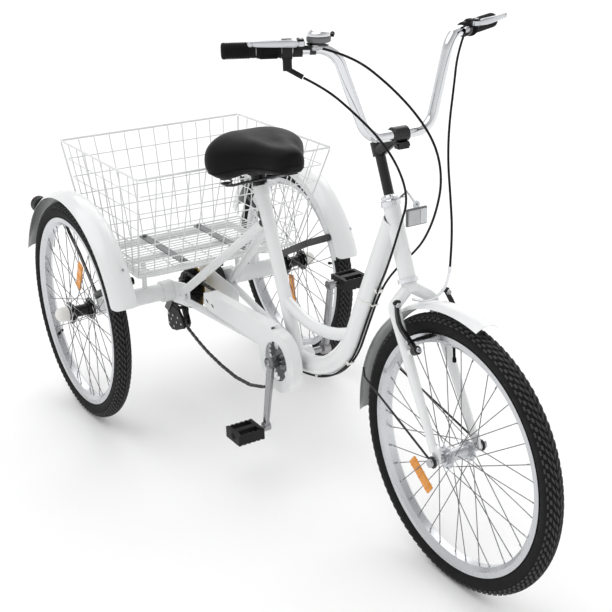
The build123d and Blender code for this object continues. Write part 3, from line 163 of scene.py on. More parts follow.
# Painted shade for the insides of the fenders, which are white paint all over.
INNER_PAINTED_SHADE = (0.27, 0.28, 0.28)
SPOKE_END, HUB_END = 0.240, 0.035     # metres from the axle


def vector_math(tree, operation, first, second=None):
    """Adds a vector node that takes one output and, if given, a second output or a fixed vector."""
    made = tree.nodes.new("ShaderNodeVectorMath")
    made.operation = operation
    tree.links.new(first, made.inputs[0])
    if isinstance(second, bpy.types.NodeSocket):
        tree.links.new(second, made.inputs[1])
    elif second is not None:
        made.inputs[1].default_value = second
    return made


def from_axle(tree, place, centre):
    """The vector to a point from the line through a wheel's centre along Y."""
    shift = vector_math(tree, "SUBTRACT", place.outputs["Object"], centre)
    return vector_math(tree, "MULTIPLY", shift.outputs["Vector"], (1, 0, 1)).outputs["Vector"]


def colour_step(tree, value, low, high, below, above):
    """One colour where the value is below low and another above high, blended between them."""
    share = add_node(tree, "ShaderNodeMapRange", From_Min=low, From_Max=high)
    tree.links.new(value, share.inputs["Value"])
    mix = tree.nodes.new("ShaderNodeMix")
    mix.data_type = "RGBA"
    tree.links.new(share.outputs["Result"], mix.inputs["Factor"])
    for side, colour in (("A", below), ("B", above)):
        if isinstance(colour, tuple):
            mix.inputs[side].default_value = (*colour, 1)
        else:
            tree.links.new(colour, mix.inputs[side])
    return mix.outputs["Result"]


def wheel_metal(name, centre):
    """Bright alloy on the rim and hub and dull steel on the spokes, split by the distance from the axle."""
    mat = material(name, (0.60, 0.61, 0.63), metallic=1, rough=0.27, spread=0.05, grain=40,
                   bump=0.02, bump_scale=900)
    tree = mat.node_tree
    base = tree.nodes["Principled BSDF"].inputs["Base Color"]
    bright = base.links[0].from_socket
    place = tree.nodes.new("ShaderNodeTexCoord")
    reach = vector_math(tree, "LENGTH", from_axle(tree, place, centre)).outputs["Value"]
    outside = colour_step(tree, reach, SPOKE_END - 0.0005, SPOKE_END + 0.0005, SPOKE_GREY, bright)
    whole = colour_step(tree, reach, HUB_END - 0.0005, HUB_END + 0.0005, bright, outside)
    tree.links.new(whole, base)
    return mat


def fender_paint_with_shade(name, centre):
    """White paint with painted shade: grey on the faces turned toward the wheel's axle, which look dark in
    the photo.
    """
    mat = material(name, **PAINT)
    tree = mat.node_tree
    base = tree.nodes["Principled BSDF"].inputs["Base Color"]
    paint = base.links[0].from_socket
    place = tree.nodes.new("ShaderNodeTexCoord")
    outward = vector_math(tree, "NORMALIZE", from_axle(tree, place, centre)).outputs["Vector"]
    facing = vector_math(tree, "DOT_PRODUCT", outward, place.outputs["Normal"]).outputs["Value"]
    # Painted shade: faces turned toward the axle get grey in place of the white paint.
    tree.links.new(colour_step(tree, facing, -0.4, -0.2, INNER_PAINTED_SHADE, paint), base)
    return mat


FRONT_HUB = at(1205, 0, 303)
RIGHT_HUB = at(0, -345, 303)
LEFT_HUB = at(0, 345, 303)
FRONT_METAL = wheel_metal("front_wheel_metal", FRONT_HUB)
RIGHT_METAL = wheel_metal("right_wheel_metal", RIGHT_HUB)
LEFT_METAL = wheel_metal("left_wheel_metal", LEFT_HUB)
FRONT_FENDER = fender_paint_with_shade("front_fender_paint", FRONT_HUB)
REAR_FENDER = fender_paint_with_shade("rear_fender_paint", at(0, 0, 303))
AMBER = prismatic("amber_reflector", (1.0, 0.37, 0.01))
RED = prismatic("red_reflector", (0.5, 0.01, 0.01))
CLEAR = prismatic("clear_reflector", (0.80, 0.82, 0.84))
CLEAR_GREY = prismatic("grey_reflector", (0.62, 0.63, 0.64))
CAP = material("white_cap_plastic", (0.80, 0.79, 0.76), rough=0.35, grain=50, mottle=0.08,
               bump=0.1)

FINISH = {
    WHITE: ("head_tube", "down_tube", "seat_tube", "frame_brace", "bottom_bracket_shell", "rear_stays",
            "axle_housings", "carrier_frame", "seat_clamp", "chain_guard", "fork"),
    FRONT_FENDER: ("front_fender",),
    REAR_FENDER: ("rear_fenders",),
    WIRE: ("basket",),
    BLACK: ("rear_fender_stays", "front_fender_stays", "band_brake", "brake_arm", "stem", "seat_post",
            "v_brake_right", "v_brake_left", "derailleur_base", "derailleur_arm", "derailleur_cage",
            "rear_hub_right", "rear_hub_left"),
    FRONT_METAL: ("front_rim",),
    RIGHT_METAL: ("rear_rim_right",),
    LEFT_METAL: ("rear_rim_left",),
    ALLOY: ("brake_lever_right", "brake_lever_left"),
    CRANK: ("crankset",),
    CHROME: ("handlebar", "bearing_cups", "bell"),
    STEEL: ("front_axle", "rear_axle"),
    DARK_STEEL: ("cassette", "chain"),
    STRAP: ("basket_straps",),
    PLASTIC: ("lever_brackets", "pedal_right", "pedal_left", "rear_reflectors", "bell_trigger"),
    TYRE: ("front_tyre", "rear_tyre_right", "rear_tyre_left"),
    RUBBER: ("grips", "twist_grip"),
    CABLE: ("rear_brake_cable", "shift_cable", "front_brake_cable"),
    CLEAR: ("front_reflector",),
    AMBER: ("front_wheel_reflector", "rear_wheel_reflector_right", "rear_wheel_reflector_left"),
    VINYL: ("saddle",),
    CAP: ("cable_clips",),
}
for finish, names in FINISH.items():
    for name in names:
        for place in nodes[name].material_slots:
            place.material = finish


def soften(name, width):
    """Rounds a CAD node's sharp edges in the picture."""
    edge = nodes[name].modifiers.new("soft_edges", "BEVEL")
    edge.width = width
    edge.segments = 2
    edge.limit_method = "ANGLE"
    edge.angle_limit = radians(50)
    edge.harden_normals = True


for name in ("pedal_right", "pedal_left", "lever_brackets"):
    soften(name, 0.0008)


# -------------------- mesh helpers
BOX_FACES = [(3, 2, 1, 0), (4, 5, 6, 7), (0, 1, 5, 4), (1, 2, 6, 5), (2, 3, 7, 6), (3, 0, 4, 7)]
SIDES = ((-1, "right"), (1, "left"))


def skin_faces(rows, around, closed=False):
    """Quads between rows of points that each go once round a shape."""
    faces = []
    for i in range(rows if closed else rows - 1):
        ahead = (i + 1) % rows
        for k in range(around):
            beside = (k + 1) % around
            faces.append((i * around + k, i * around + beside, ahead * around + beside, ahead * around + k))
    return faces


def prism_faces(n):
    """Faces of a prism with n points at each end."""
    sides = [(k, (k + 1) % n, (k + 1) % n + n, k + n) for k in range(n)]
    return [tuple(range(n))[::-1], tuple(range(n, 2 * n))] + sides


def piece(name, verts, faces, finish, body):
    """A mesh object with its normals outward, riding on a body if one is given."""
    mesh = bpy.data.meshes.new(name)
    mesh.from_pydata([tuple(v) for v in verts], [], faces)
    mesh.validate()
    mesh.polygons.foreach_set("use_smooth", [True] * len(mesh.polygons))
    mesh.materials.append(finish)
    fix = bmesh.new()
    fix.from_mesh(mesh)
    bmesh.ops.recalc_face_normals(fix, faces=fix.faces)
    fix.to_mesh(mesh)
    fix.free()
    mesh.update()
    obj = bpy.data.objects.new(name, mesh)
    bpy.context.scene.collection.objects.link(obj)
    if body:
        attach(obj, body)
    return obj


def crisp(obj, angle=35):
    """Shades a piece smooth except across sharp edges."""
    mesh = obj.data
    sharp = bmesh.new()
    sharp.from_mesh(mesh)
    for edge in sharp.edges:
        if len(edge.link_faces) == 2 and edge.calc_face_angle() > radians(angle):
            edge.smooth = False
    sharp.to_mesh(mesh)
    sharp.free()
    return obj


def across(direction):
    """Two unit vectors square to a direction."""
    d = Vector(direction).normalized()
    side = d.cross(Vector((0, 0, 1)))
    if side.length < 0.05:
        side = d.cross(Vector((0, 1, 0)))
    side.normalize()
    return side, side.cross(d)


def ring(centre, side, up, r, sides):
    """Points round a circle."""
    turns = [2 * pi * k / sides for k in range(sides)]
    return [centre + side * (r * cos(a)) + up * (r * sin(a)) for a in turns]


def tube_parts(points, radius, sides=12):
    """Vertices and faces of a round tube along points, with one radius or a list of them."""
    points = [Vector(p) for p in points]
    verts = []
    side = None
    for i, p in enumerate(points):
        ahead = (points[min(i + 1, len(points) - 1)] - points[max(i - 1, 0)]).normalized()
        if side is None:
            side, _ = across(ahead)
        side = (side - ahead * side.dot(ahead)).normalized()
        up = ahead.cross(side)
        r = radius[i] if isinstance(radius, (list, tuple)) else radius
        verts += ring(p, side, up, r, sides)
    faces = skin_faces(len(points), sides)
    faces.append(tuple(range(sides))[::-1])
    faces.append(tuple(range(len(verts) - sides, len(verts))))
    return verts, faces


def tube(name, points, radius, finish, body, sides=12):
    return piece(name, *tube_parts(points, radius, sides), finish, body)


def merged(parts):
    """Joins several (verts, faces) lists."""
    verts, faces = [], []
    for v, f in parts:
        base = len(verts)
        verts += list(v)
        faces += [tuple(i + base for i in face) for face in f]
    return verts, faces


def lathe_parts(origin, direction, profile, sides=48, closed=False):
    """Turns (distance along, radius) points about a line from origin."""
    origin, d = Vector(origin), Vector(direction).normalized()
    side, up = across(d)
    verts = []
    for along, r in profile:
        verts += ring(origin + d * along, side, up, r, sides)
    return verts, skin_faces(len(profile), sides, closed)


def lathe(name, origin, direction, profile, finish, body, sides=48, closed=False):
    return crisp(piece(name, *lathe_parts(origin, direction, profile, sides, closed), finish, body))


def box_parts(centre, x_dir, y_dir, size, inset=1.0):
    """A box with its far Z face scaled by inset."""
    x = Vector(x_dir).normalized()
    y = Vector(y_dir).normalized()
    z = x.cross(y)
    verts = []
    for k in (-1, 1):
        share = inset if k > 0 else 1.0
        for i, j in ((-1, -1), (1, -1), (1, 1), (-1, 1)):
            spot = Vector(centre) + x * (i * size[0] / 2 * share) + y * (j * size[1] / 2 * share)
            verts.append(spot + z * (k * size[2] / 2))
    return verts, BOX_FACES


def rounded(name, parts, finish, body, width=0.001, segments=3):
    obj = piece(name, *parts, finish, body)
    edge = obj.modifiers.new("round", "BEVEL")
    edge.width = width
    edge.segments = segments
    edge.limit_method = "ANGLE"
    edge.harden_normals = True
    return obj


# -------------------- tyres
WHEEL_R, RIM_R, TUBE_R = 0.303, 0.262, 0.024
CROWN_R = WHEEL_R - TUBE_R
CASING_R, SIDE_RIB, CASING_STEPS = 0.0209, 0.0006, 144
BLOCK_FOOT, BLOCK_TOP, SHOULDER_TOP = 0.0200, 0.0238, 0.0228
BLOCKS_ROUND = 104
# A row of blocks: its start and end in degrees off the crown, then shift, length and slant in block steps.
BLOCK_ROWS = ((3.0, 17.0, 0.0, 0.62, 0.6), (20.0, 34.0, 0.5, 0.6, 0.6), (37.5, 52.0, 0.05, 0.55, 0.18),
              (55.0, 66.0, 0.5, 0.6, 0.0))


def wheel_point(centre, theta, r, y):
    return centre + Vector((r * cos(theta), y, r * sin(theta)))


def tyre_point(centre, theta, phi, rho):
    return wheel_point(centre, theta, CROWN_R + rho * cos(phi), rho * sin(phi))


def tread_block(centre, theta, step, low, high, share, slant, side):
    """One raised block, smaller at its top."""
    top = BLOCK_TOP if low < 50 else SHOULDER_TOP
    corners = []
    for rho, grow in ((BLOCK_FOOT, 1.0), (top, 0.82)):
        for u, v in ((-1, 0), (1, 0), (1, 1), (-1, 1)):
            phi = low + (high - low) * (0.5 + (v - 0.5) * grow)
            turn = theta + u * share * step / 2 * grow + slant * (v - 0.5) * step
            corners.append(tyre_point(centre, turn, side * radians(phi), rho))
    return corners, BOX_FACES


def tyre(name, centre, body, node):
    """A casing with side ribs, and four rows of raised tread blocks on each side, set in chevrons."""
    profile = []
    for k in range(-14, 15):
        phi = radians(k * 9.2)
        rho = CASING_R + (SIDE_RIB if 8 <= abs(k) <= 9 else 0.0)
        profile.append((CROWN_R + rho * cos(phi), rho * sin(phi)))
    profile += [(RIM_R - 0.0015, 0.0135), (RIM_R - 0.008, 0.0125), (RIM_R - 0.008, -0.0125),
                (RIM_R - 0.0015, -0.0135)]
    verts = []
    for i in range(CASING_STEPS):
        for r, y in profile:
            verts.append(wheel_point(centre, 2 * pi * i / CASING_STEPS, r, y))
    faces = skin_faces(CASING_STEPS, len(profile), closed=True)
    casing = crisp(piece(name, verts, faces, TYRE, body), 30)
    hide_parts(node)
    parts = []
    step = 2 * pi / BLOCKS_ROUND
    for side in (-1, 1):
        for low, high, shift, share, slant in BLOCK_ROWS:
            for i in range(BLOCKS_ROUND):
                theta = (i + shift) * step
                parts.append(tread_block(centre, theta, step, low, high, share, slant, side))
    blocks = crisp(piece(name + "_tread", *merged(parts), TREAD, body), 30)


tyre("tyre_front", FRONT_HUB, "front_wheel", "front_tyre")
tyre("tyre_rear_right", RIGHT_HUB, "rear_wheel_right", "rear_tyre_right")
tyre("tyre_rear_left", LEFT_HUB, "rear_wheel_left", "rear_tyre_left")


SPOKES_A_SIDE = 18
VALVE_STEM = ((0.243, 0.0042), (0.236, 0.0042), (0.2355, 0.003), (0.205, 0.0028))
VALVE_CAP = ((0.213, 0.0042), (0.2045, 0.0042), (0.203, 0.0025))


def wheel_trim(name, centre, body, valve_angle):
    """Spoke nipples and the valve."""
    parts = []
    for side in (-1, 1):
        for j in range(SPOKES_A_SIDE):
            leading = j % 2 == 0
            angle = radians(j * 20 + (10 if side > 0 else 0) + (60 if leading else -60))
            y = side * (0.0045 if leading else 0.0012)
            inner = wheel_point(centre, angle, 0.2285, y * 1.4)
            outer = wheel_point(centre, angle, 0.2425, y)
            parts.append(tube_parts([inner, inner.lerp(outer, 0.75), outer], [0.0014, 0.0017, 0.0022], 8))
    obj = piece(name + "_nipples", *merged(parts), STEEL, body)
    parts = []
    for profile in (VALVE_STEM, VALVE_CAP):
        line = [wheel_point(centre, radians(valve_angle), r, 0) for r, _ in profile]
        parts.append(tube_parts(line, [wide for _, wide in profile], 12))
    valve = piece(name + "_valve", *merged(parts), RUBBER, body)


wheel_trim("front_wheel", FRONT_HUB, "front_wheel", 95)
wheel_trim("rear_right", RIGHT_HUB, "rear_wheel_right", 215)
wheel_trim("rear_left", LEFT_HUB, "rear_wheel_left", 15)


REFLECTOR_Y = -0.013
DUST_CAP = [(0.0375, 0.0), (0.0375, 0.0199), (0.0525, 0.0200), (0.0585, 0.0190), (0.0625, 0.0174),
            (0.0660, 0.0149), (0.0690, 0.0110), (0.0710, 0.0064), (0.0718, 0.0)]


def wheel_reflector(name, centre, angle, reach, body, node, turn=0.0):
    """An amber reflector with three pairs of raised bars."""
    a, b = radians(angle), radians(angle - turn)
    middle = wheel_point(centre, a, reach, REFLECTOR_Y)
    out = Vector((cos(b), 0, sin(b)))
    along = Vector((-sin(b), 0, cos(b)))
    obj = rounded(name, box_parts(middle, out, along, (0.083, 0.026, 0.0056)), AMBER, body, 0.0022)
    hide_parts(node)
    ribs = []
    for share in (-0.031, 0.0, 0.031):
        for y in (-0.0032, 0.0032):
            spot = middle + out * share + Vector((0, y, 0))
            ribs.append(box_parts(spot, out, along, (0.0022, 0.0235, 0.0018)))
    bars = rounded(name + "_ribs", merged(ribs), AMBER, body, 0.0004)


wheel_reflector("reflector_front_wheel", FRONT_HUB, 223, 0.140, "front_wheel", "front_wheel_reflector", 80)
wheel_reflector("reflector_rear_right", RIGHT_HUB, 66, 0.132, "rear_wheel_right",
                "rear_wheel_reflector_right")
wheel_reflector("reflector_rear_left", LEFT_HUB, 277, 0.080, "rear_wheel_left", "rear_wheel_reflector_left")

for (side, name), centre in zip(SIDES, (RIGHT_HUB, LEFT_HUB)):
    cap = lathe(f"dust_cap_{name}", centre, (0, side, 0), DUST_CAP, CAP, f"rear_wheel_{name}")

# -------------------- chain and cogs
PITCH = 12.7
COG_Y, RING_Y = -17.0, -43.0
RING_R, COG_R, PULLEY_R = 32 * PITCH / (2 * pi), 20 * PITCH / (2 * pi), 19.0
RING_AT, COG_AT, GUIDE, TENSION = (580.0, 295.0), (0.0, 303.0), (-30.0, 228.0), (-12.0, 184.0)
HANGING_RUN = ((60, -20, 148), (122, -23, 138), (210, -27, 131.5), (298, -31, 131.5), (385, -35, 144),
               (466, -39, 171), (520, -41.5, 200), (552, -43, 223))
SHORTEST_LINK = 0.006
PLATE_R, PLATE_HALF = 0.0041, 0.00045
PIN = [(0, 0.0), (0, 0.0018), (0.0076, 0.0018), (0.0076, 0.0)]
ROLLER = [(0, 0.0019), (0, 0.0036), (0.0028, 0.0036), (0.0028, 0.0019)]
PROTECTOR = [(0, 0.0207), (0, 0.0672), (0.0004, 0.0686), (0.0013, 0.0686), (0.0017, 0.0672),
             (0.0017, 0.0207)]


def arc_points(centre, r, start, end, y, count=24):
    """Points along an arc at one y, between two angles in degrees."""
    points = []
    for i in range(count + 1):
        a = radians(start + (end - start) * i / count)
        points.append(at(centre[0] + r * cos(a), y, centre[1] + r * sin(a)))
    return points


def chain_line():
    """The chain's whole route: round the chainring, back to the cog, down through the pulleys and forward."""
    line = arc_points(RING_AT, RING_R, -96, 87, RING_Y)
    line += arc_points(COG_AT, COG_R, 91, 238, COG_Y)
    line += arc_points(GUIDE, PULLEY_R, 28, -45, COG_Y, 8)
    line += arc_points(TENSION, PULLEY_R, 155, 266, COG_Y, 12)
    return line + [at(*place) for place in HANGING_RUN]


def even(points, spacing):
    """Points at an even spacing along a closed line."""
    points = [Vector(p) for p in points]
    points.append(points[0])
    made, carry = [points[0]], 0.0
    for a, b in zip(points, points[1:]):
        span = (b - a).length
        reach = spacing - carry
        while reach <= span:
            made.append(a.lerp(b, reach / span))
            reach += spacing
        carry = (carry + span) % spacing
    return made


def link_plate(ends, ahead, up, side, offset):
    """One side plate of a link: a flat bar, round at both ends."""
    verts = []
    for depth in (-PLATE_HALF, PLATE_HALF):
        for centre, turn in zip(ends, (pi, 0.0)):
            for k in range(7):
                t = turn - pi / 2 + pi * k / 6
                r = PLATE_R * (0.86 if k in (0, 6) else 1.0)
                rim = ahead * (r * cos(t)) + up * (r * sin(t))
                verts.append(centre + rim + side * (offset + depth))
    return verts, prism_faces(len(verts) // 2)


def chain():
    """Pairs of side plates, wide and narrow in turn, with a pin and a roller at each joint."""
    places = even(chain_line(), PITCH / 1000)
    parts = []
    for i, (a, b) in enumerate(zip(places, places[1:] + places[:1])):
        run = b - a
        if run.length < SHORTEST_LINK:
            continue
        ahead = run.normalized()
        side = Vector((0, 1, 0))
        side = (side - ahead * side.dot(ahead)).normalized()
        up = side.cross(ahead)
        wide = 0.0031 if i % 2 == 0 else 0.0020
        for way in (-1, 1):
            parts.append(link_plate((a, b), ahead, up, side, way * wide))
        parts.append(lathe_parts(a - side * 0.0038, side, PIN, 10))
        parts.append(lathe_parts(a - side * 0.0014, side, ROLLER, 12))
    obj = crisp(piece("roller_chain", *merged(parts), DARK_STEEL, "frame"))
    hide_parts("chain")


chain()
disc = lathe("chain_protector", at(0, 3.8, 303), (0, 1, 0), PROTECTOR, BRASS, "cogs", 96, closed=True)


# -------------------- saddle
SADDLE_X = 451.0
POCKET_TOP = 770.0
SKIN_POINTS, UNDER_POINTS = 42, 14
SEAM_POINTS = (4, 37)
COIL_STEPS = 20
RAIL = ((334, 60, 693), (352, 60, 693), (382, 58, 700), (420, 48, 714), (462, 38, 728), (504, 28, 742),
        (540, 18, 757))


def smooth_table(table, x):
    """A smooth curve through a short table of (x, value)."""
    if x <= table[0][0]:
        return table[0][1]
    for i in range(len(table) - 1):
        (x0, v0), (x1, v1) = table[i], table[i + 1]
        if x <= x1:
            before = table[i - 1] if i else (x0 - (x1 - x0), v0)
            after = table[i + 2] if i + 2 < len(table) else (x1 + (x1 - x0), v1)
            m0 = (v1 - before[1]) / (x1 - before[0]) * (x1 - x0)
            m1 = (after[1] - v0) / (after[0] - x0) * (x1 - x0)
            t = (x - x0) / (x1 - x0)
            return ((2 * t ** 3 - 3 * t ** 2 + 1) * v0 + (t ** 3 - 2 * t ** 2 + t) * m0
                    + (-2 * t ** 3 + 3 * t ** 2) * v1 + (t ** 3 - t ** 2) * m1)
    return table[-1][1]


# Half width, top and lower edge along the saddle, each at a distance ahead of its middle.
SEAT_WIDE = ((-135, 34), (-132, 58), (-124, 84), (-104, 112), (-68, 133), (-28, 126), (6, 99), (34, 72),
             (68, 53), (102, 43), (122, 34), (132, 22), (135, 10))
SEAT_TOP = ((-135, 800), (-131, 812), (-120, 824), (-74, 835), (0, 831), (60, 825), (108, 823), (128, 815),
            (135, 804))
SEAT_LOW = ((-135, 752), (-130, 738), (-110, 728), (-70, 723), (-32, 728), (10, 747), (44, 756), (110, 761),
            (128, 768), (135, 780))


def clamped(share):
    return max(0.0, min(1.0, share))


def saddle_station(x):
    """The saddle's section at x: the outer skin's points, then those under it."""
    half = smooth_table(SEAT_WIDE, x)
    top, low = smooth_table(SEAT_TOP, x), smooth_table(SEAT_LOW, x)
    middle = low + 0.40 * (top - low)
    skin = []
    for k in range(SKIN_POINTS):
        a = radians(-55 + 290 * k / (SKIN_POINTS - 1))
        c, s = cos(a), sin(a)
        y = half * copysign(abs(c) ** 0.66, c)
        if s >= 0:
            z = middle + (top - middle) * s ** 0.74
            dip = 8.0 * clamped((x + 125) / 50.0) * clamped((90 - x) / 60.0)
            z -= dip * exp(-(y / 20.0) ** 2) * s
            z -= 9.0 * (abs(y) / half) ** 3 * s
        else:
            z = middle - (middle - low) * min(1.0, abs(s) / sin(radians(55))) ** 0.9
        skin.append((y, z))
    edge = abs(skin[0][0])
    roof = low + (POCKET_TOP - low) * clamped((112 - abs(x)) / 14.0)
    under = []
    for k in range(UNDER_POINTS):
        share = 1 - 2 * k / (UNDER_POINTS - 1)
        under.append((-edge * 0.93 * share, low if abs(share) == 1 else roof))
    return skin, under


def saddle():
    """A stuffed cover lofted from tail to nose, with a shallow middle, a sewn line and a hollow base."""
    verts = []
    stations = 60
    lines = [[], []]
    for i in range(stations + 1):
        x = -135 * cos(pi * i / stations)
        skin, under = saddle_station(x)
        verts += [at(SADDLE_X + x, y, z) for y, z in skin + under]
        for line, k in zip(lines, SEAM_POINTS):
            if 2 <= i <= stations - 2:
                line.append(at(SADDLE_X + x, skin[k][0] * 1.003, skin[k][1]))
    around = SKIN_POINTS + UNDER_POINTS
    faces = skin_faces(stations + 1, around)
    faces.append(tuple(range(around))[::-1])
    faces.append(tuple(range(stations * around, (stations + 1) * around)))
    obj = piece("saddle_cover", verts, faces, VINYL, "seat")
    fine = obj.modifiers.new("smooth", "SUBSURF")
    fine.levels = fine.render_levels = 1
    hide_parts("saddle")
    piping = tube("saddle_piping", lines[0] + lines[1][::-1], 0.0015, VINYL, "seat", 8)


saddle()


def coil(name, x, y, low, high, radius, wire, turns):
    """A spring of round wire, flat for half a turn at each end."""
    points = []
    for i in range(turns * COIL_STEPS + 1):
        a = 2 * pi * i / COIL_STEPS
        share = clamped((i / COIL_STEPS - 0.5) / (turns - 1.0))
        points.append(at(x + radius * cos(a), y + radius * sin(a), low + (high - low) * share))
    obj = tube(name, points, wire / 1000, BLACK, "seat", 10)


for side, name in SIDES:
    coil(f"saddle_spring_{name}", 352, side * 60, 742, 767, 16.2, 2.2, 4)
    coil(f"saddle_lower_spring_{name}", 352, side * 60, 697, 742, 13.5, 2.4, 5)
    line = [at(x, side * y, z) for x, y, z in RAIL]
    rail = tube(f"saddle_rail_{name}", line, 0.0035, BLACK, "seat", 12)

# -------------------- handlebar fittings
BAR_END = Vector((877.0, 333.0, 1124.0))
RUN = (Vector((972.0, 142.0, 1124.0)) - BAR_END).normalized()


def bar_point(side, distance, ahead=0.0, up=0.0):
    x = BAR_END.x + RUN.x * distance - RUN.y * ahead
    y = side * (BAR_END.y + RUN.y * distance + RUN.x * ahead)
    return at(x, y, BAR_END.z + up)


def bar_run(side):
    return Vector((RUN.x, side * RUN.y, 0))


def grip(name, side, start, end, body, node, flange=True):
    """A moulded grip: a rounded end, finger ribs and a flange."""
    profile = [(start, 0.0), (start, 10.0), (start + 1.2, 14.0), (start + 3.5, 15.6)]
    count = int((end - start - 12) / 5.0)
    for i in range(count):
        x = start + 6 + i * 5.0
        profile += [(x, 15.9), (x + 2.4, 15.9), (x + 2.9, 14.6), (x + 4.4, 14.6)]
    if flange:
        profile += [(end - 5.5, 15.9), (end - 5.0, 18.8), (end - 1.5, 18.8), (end - 0.5, 17.8)]
    profile += [(end, 15.0), (end, 11.3)]
    profile = [(along / 1000, r / 1000) for along, r in profile]
    obj = lathe(name, bar_point(side, 0), bar_run(side), profile, RUBBER, body, 40)
    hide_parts(node)


grip("grip_left", 1, -4, 118, "steering", "grips")
grip("grip_right", -1, -4, 62, "steering", "grips", flange=False)

TWIST_RIDGES = 24
TWIST_SLEEVE = [(0.063, 0.0112), (0.063, 0.0152), (0.065, 0.0160), (0.107, 0.0160), (0.1085, 0.0172),
                (0.1105, 0.0172), (0.111, 0.0112)]
right_run = bar_run(-1)
side_dir, up_dir = across(right_run)
twist_parts = [lathe_parts(bar_point(-1, 0), right_run, TWIST_SLEEVE, 48)]
for i in range(TWIST_RIDGES):
    a = 2 * pi * i / TWIST_RIDGES
    offset = side_dir * cos(a) + up_dir * sin(a)
    middle = bar_point(-1, 86) + offset * 0.0162
    twist_parts.append(box_parts(middle, right_run, offset.cross(right_run), (0.040, 0.0022, 0.0026), 0.8))
twist = crisp(piece("twist_shifter", *merged(twist_parts), RUBBER, "shifter"))
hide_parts("twist_grip")

# -------------------- headset, front reflector and bell
HEAD_LOW, HEAD_HIGH = at(1027, 0, 639), at(968, 0, 782)
STEER = (HEAD_HIGH - HEAD_LOW).normalized()
FORWARD = Vector((STEER.z, 0, -STEER.x))
ACROSS, UP = (0, 1, 0), (0, 0, 1)
LOCK_RING = [(0.0103, 0.0128), (0.0103, 0.0195), (0.0115, 0.0205), (0.0128, 0.0195), (0.0133, 0.0170),
             (0.0142, 0.0170), (0.0148, 0.0185), (0.0192, 0.0185), (0.0220, 0.0160), (0.0220, 0.0128)]
HANGER = [(0, 0.003), (0, 0.0082), (0.003, 0.0082), (0.003, 0.003)]
BELL_CLAMP = [(0.165, 0.0113), (0.165, 0.0124), (0.177, 0.0124), (0.177, 0.0113)]
BELL_NECK = [(0, 0.0), (0, 0.007), (0.004, 0.007), (0.004, 0.0)]
BELL_BASE = [(0, 0.0), (0, 0.0215), (0.0015, 0.0235), (0.008, 0.0240), (0.0095, 0.0232), (0.0095, 0.0200),
             (0.011, 0.0200), (0.011, 0.0)]

lock_ring = lathe("headset_lock_ring", HEAD_HIGH, STEER, LOCK_RING, CHROME, "steering", 40, closed=True)
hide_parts("front_reflector")
tab_at = HEAD_HIGH + STEER * 0.0118 + FORWARD * 0.030
tab = rounded("reflector_bracket_tab", box_parts(tab_at, FORWARD, ACROSS, (0.030, 0.013, 0.0022)), STEEL,
              "steering", 0.0006)
rod = [tab_at + FORWARD * 0.006, at(1020, 0, 826), at(1030, 0, 820), at(1048, 0, 808), at(1052, 0, 806)]
bracket = tube("reflector_bracket_rod", rod, 0.0024, STEEL, "steering", 12)
hole_tab = lathe("reflector_hanger", at(1050.5, 0, 806), (1, 0, 0), HANGER, CLEAR, "steering", 24,
                 closed=True)
backing = rounded("reflector_backing", box_parts(at(1053, 0, 781), ACROSS, UP, (0.053, 0.038, 0.006)), GREY,
                  "steering", 0.006, 4)
for name, y, wide, skin in (("grey", -9.0, 0.029, CLEAR_GREY), ("white", 14.8, 0.018, CLEAR)):
    pane = box_parts(at(1057.5, y, 781), ACROSS, UP, (wide, 0.032, 0.0045), 0.96)
    face = rounded(f"reflector_lens_{name}", pane, skin, "steering", 0.002)

bell_at = bar_point(-1, 183) + Vector((0, 0, 0.012))
bell_clamp = lathe("bell_clamp", bar_point(-1, 0), right_run, BELL_CLAMP, BLACK, "steering", 32, closed=True)
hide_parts("bell")
neck = lathe("bell_neck", bar_point(-1, 171, 0, 10), UP, BELL_NECK, GREY, "steering", 24)
base = lathe("bell_base", bell_at, UP, BELL_BASE, GREY, "steering", 56)
dome = [(0.0112, 0.0), (0.0112, 0.0218), (0.0118, 0.0226), (0.0126, 0.0224)]
for k in range(1, 13):
    a = radians(90 * k / 12)
    dome.append((0.0126 + 0.0122 * sin(a), 0.0224 * cos(a) ** 0.8 if k < 12 else 0.0))
bell_dome = lathe("bell_dome", bell_at, UP, dome, CHROME, "steering", 56)

# -------------------- brake levers
# Along the bar from its end, ahead of it and above it, then the blade's half width and half depth there.
BLADE_RUN = ((142, 29, 14, 4.6, 5.5), (134, 36, 15.5, 5.2, 7.0), (124, 44, 17, 4.6, 7.4),
             (112, 48.5, 18, 3.8, 7.0), (96, 50, 18.4, 3.4, 6.6), (78, 50.4, 18.8, 3.4, 6.4),
             (62, 50.2, 19.2, 3.6, 6.0), (54, 50.4, 19.6, 4.0, 5.0))
LEVER_HUB = [(0, 0.0026), (0, 0.0078), (0.009, 0.0078), (0.009, 0.0026)]
LEVER_PIN = [(0, 0.0), (0, 0.0046), (0.0015, 0.0046), (0.0022, 0.0036), (0.0022, 0.0)]


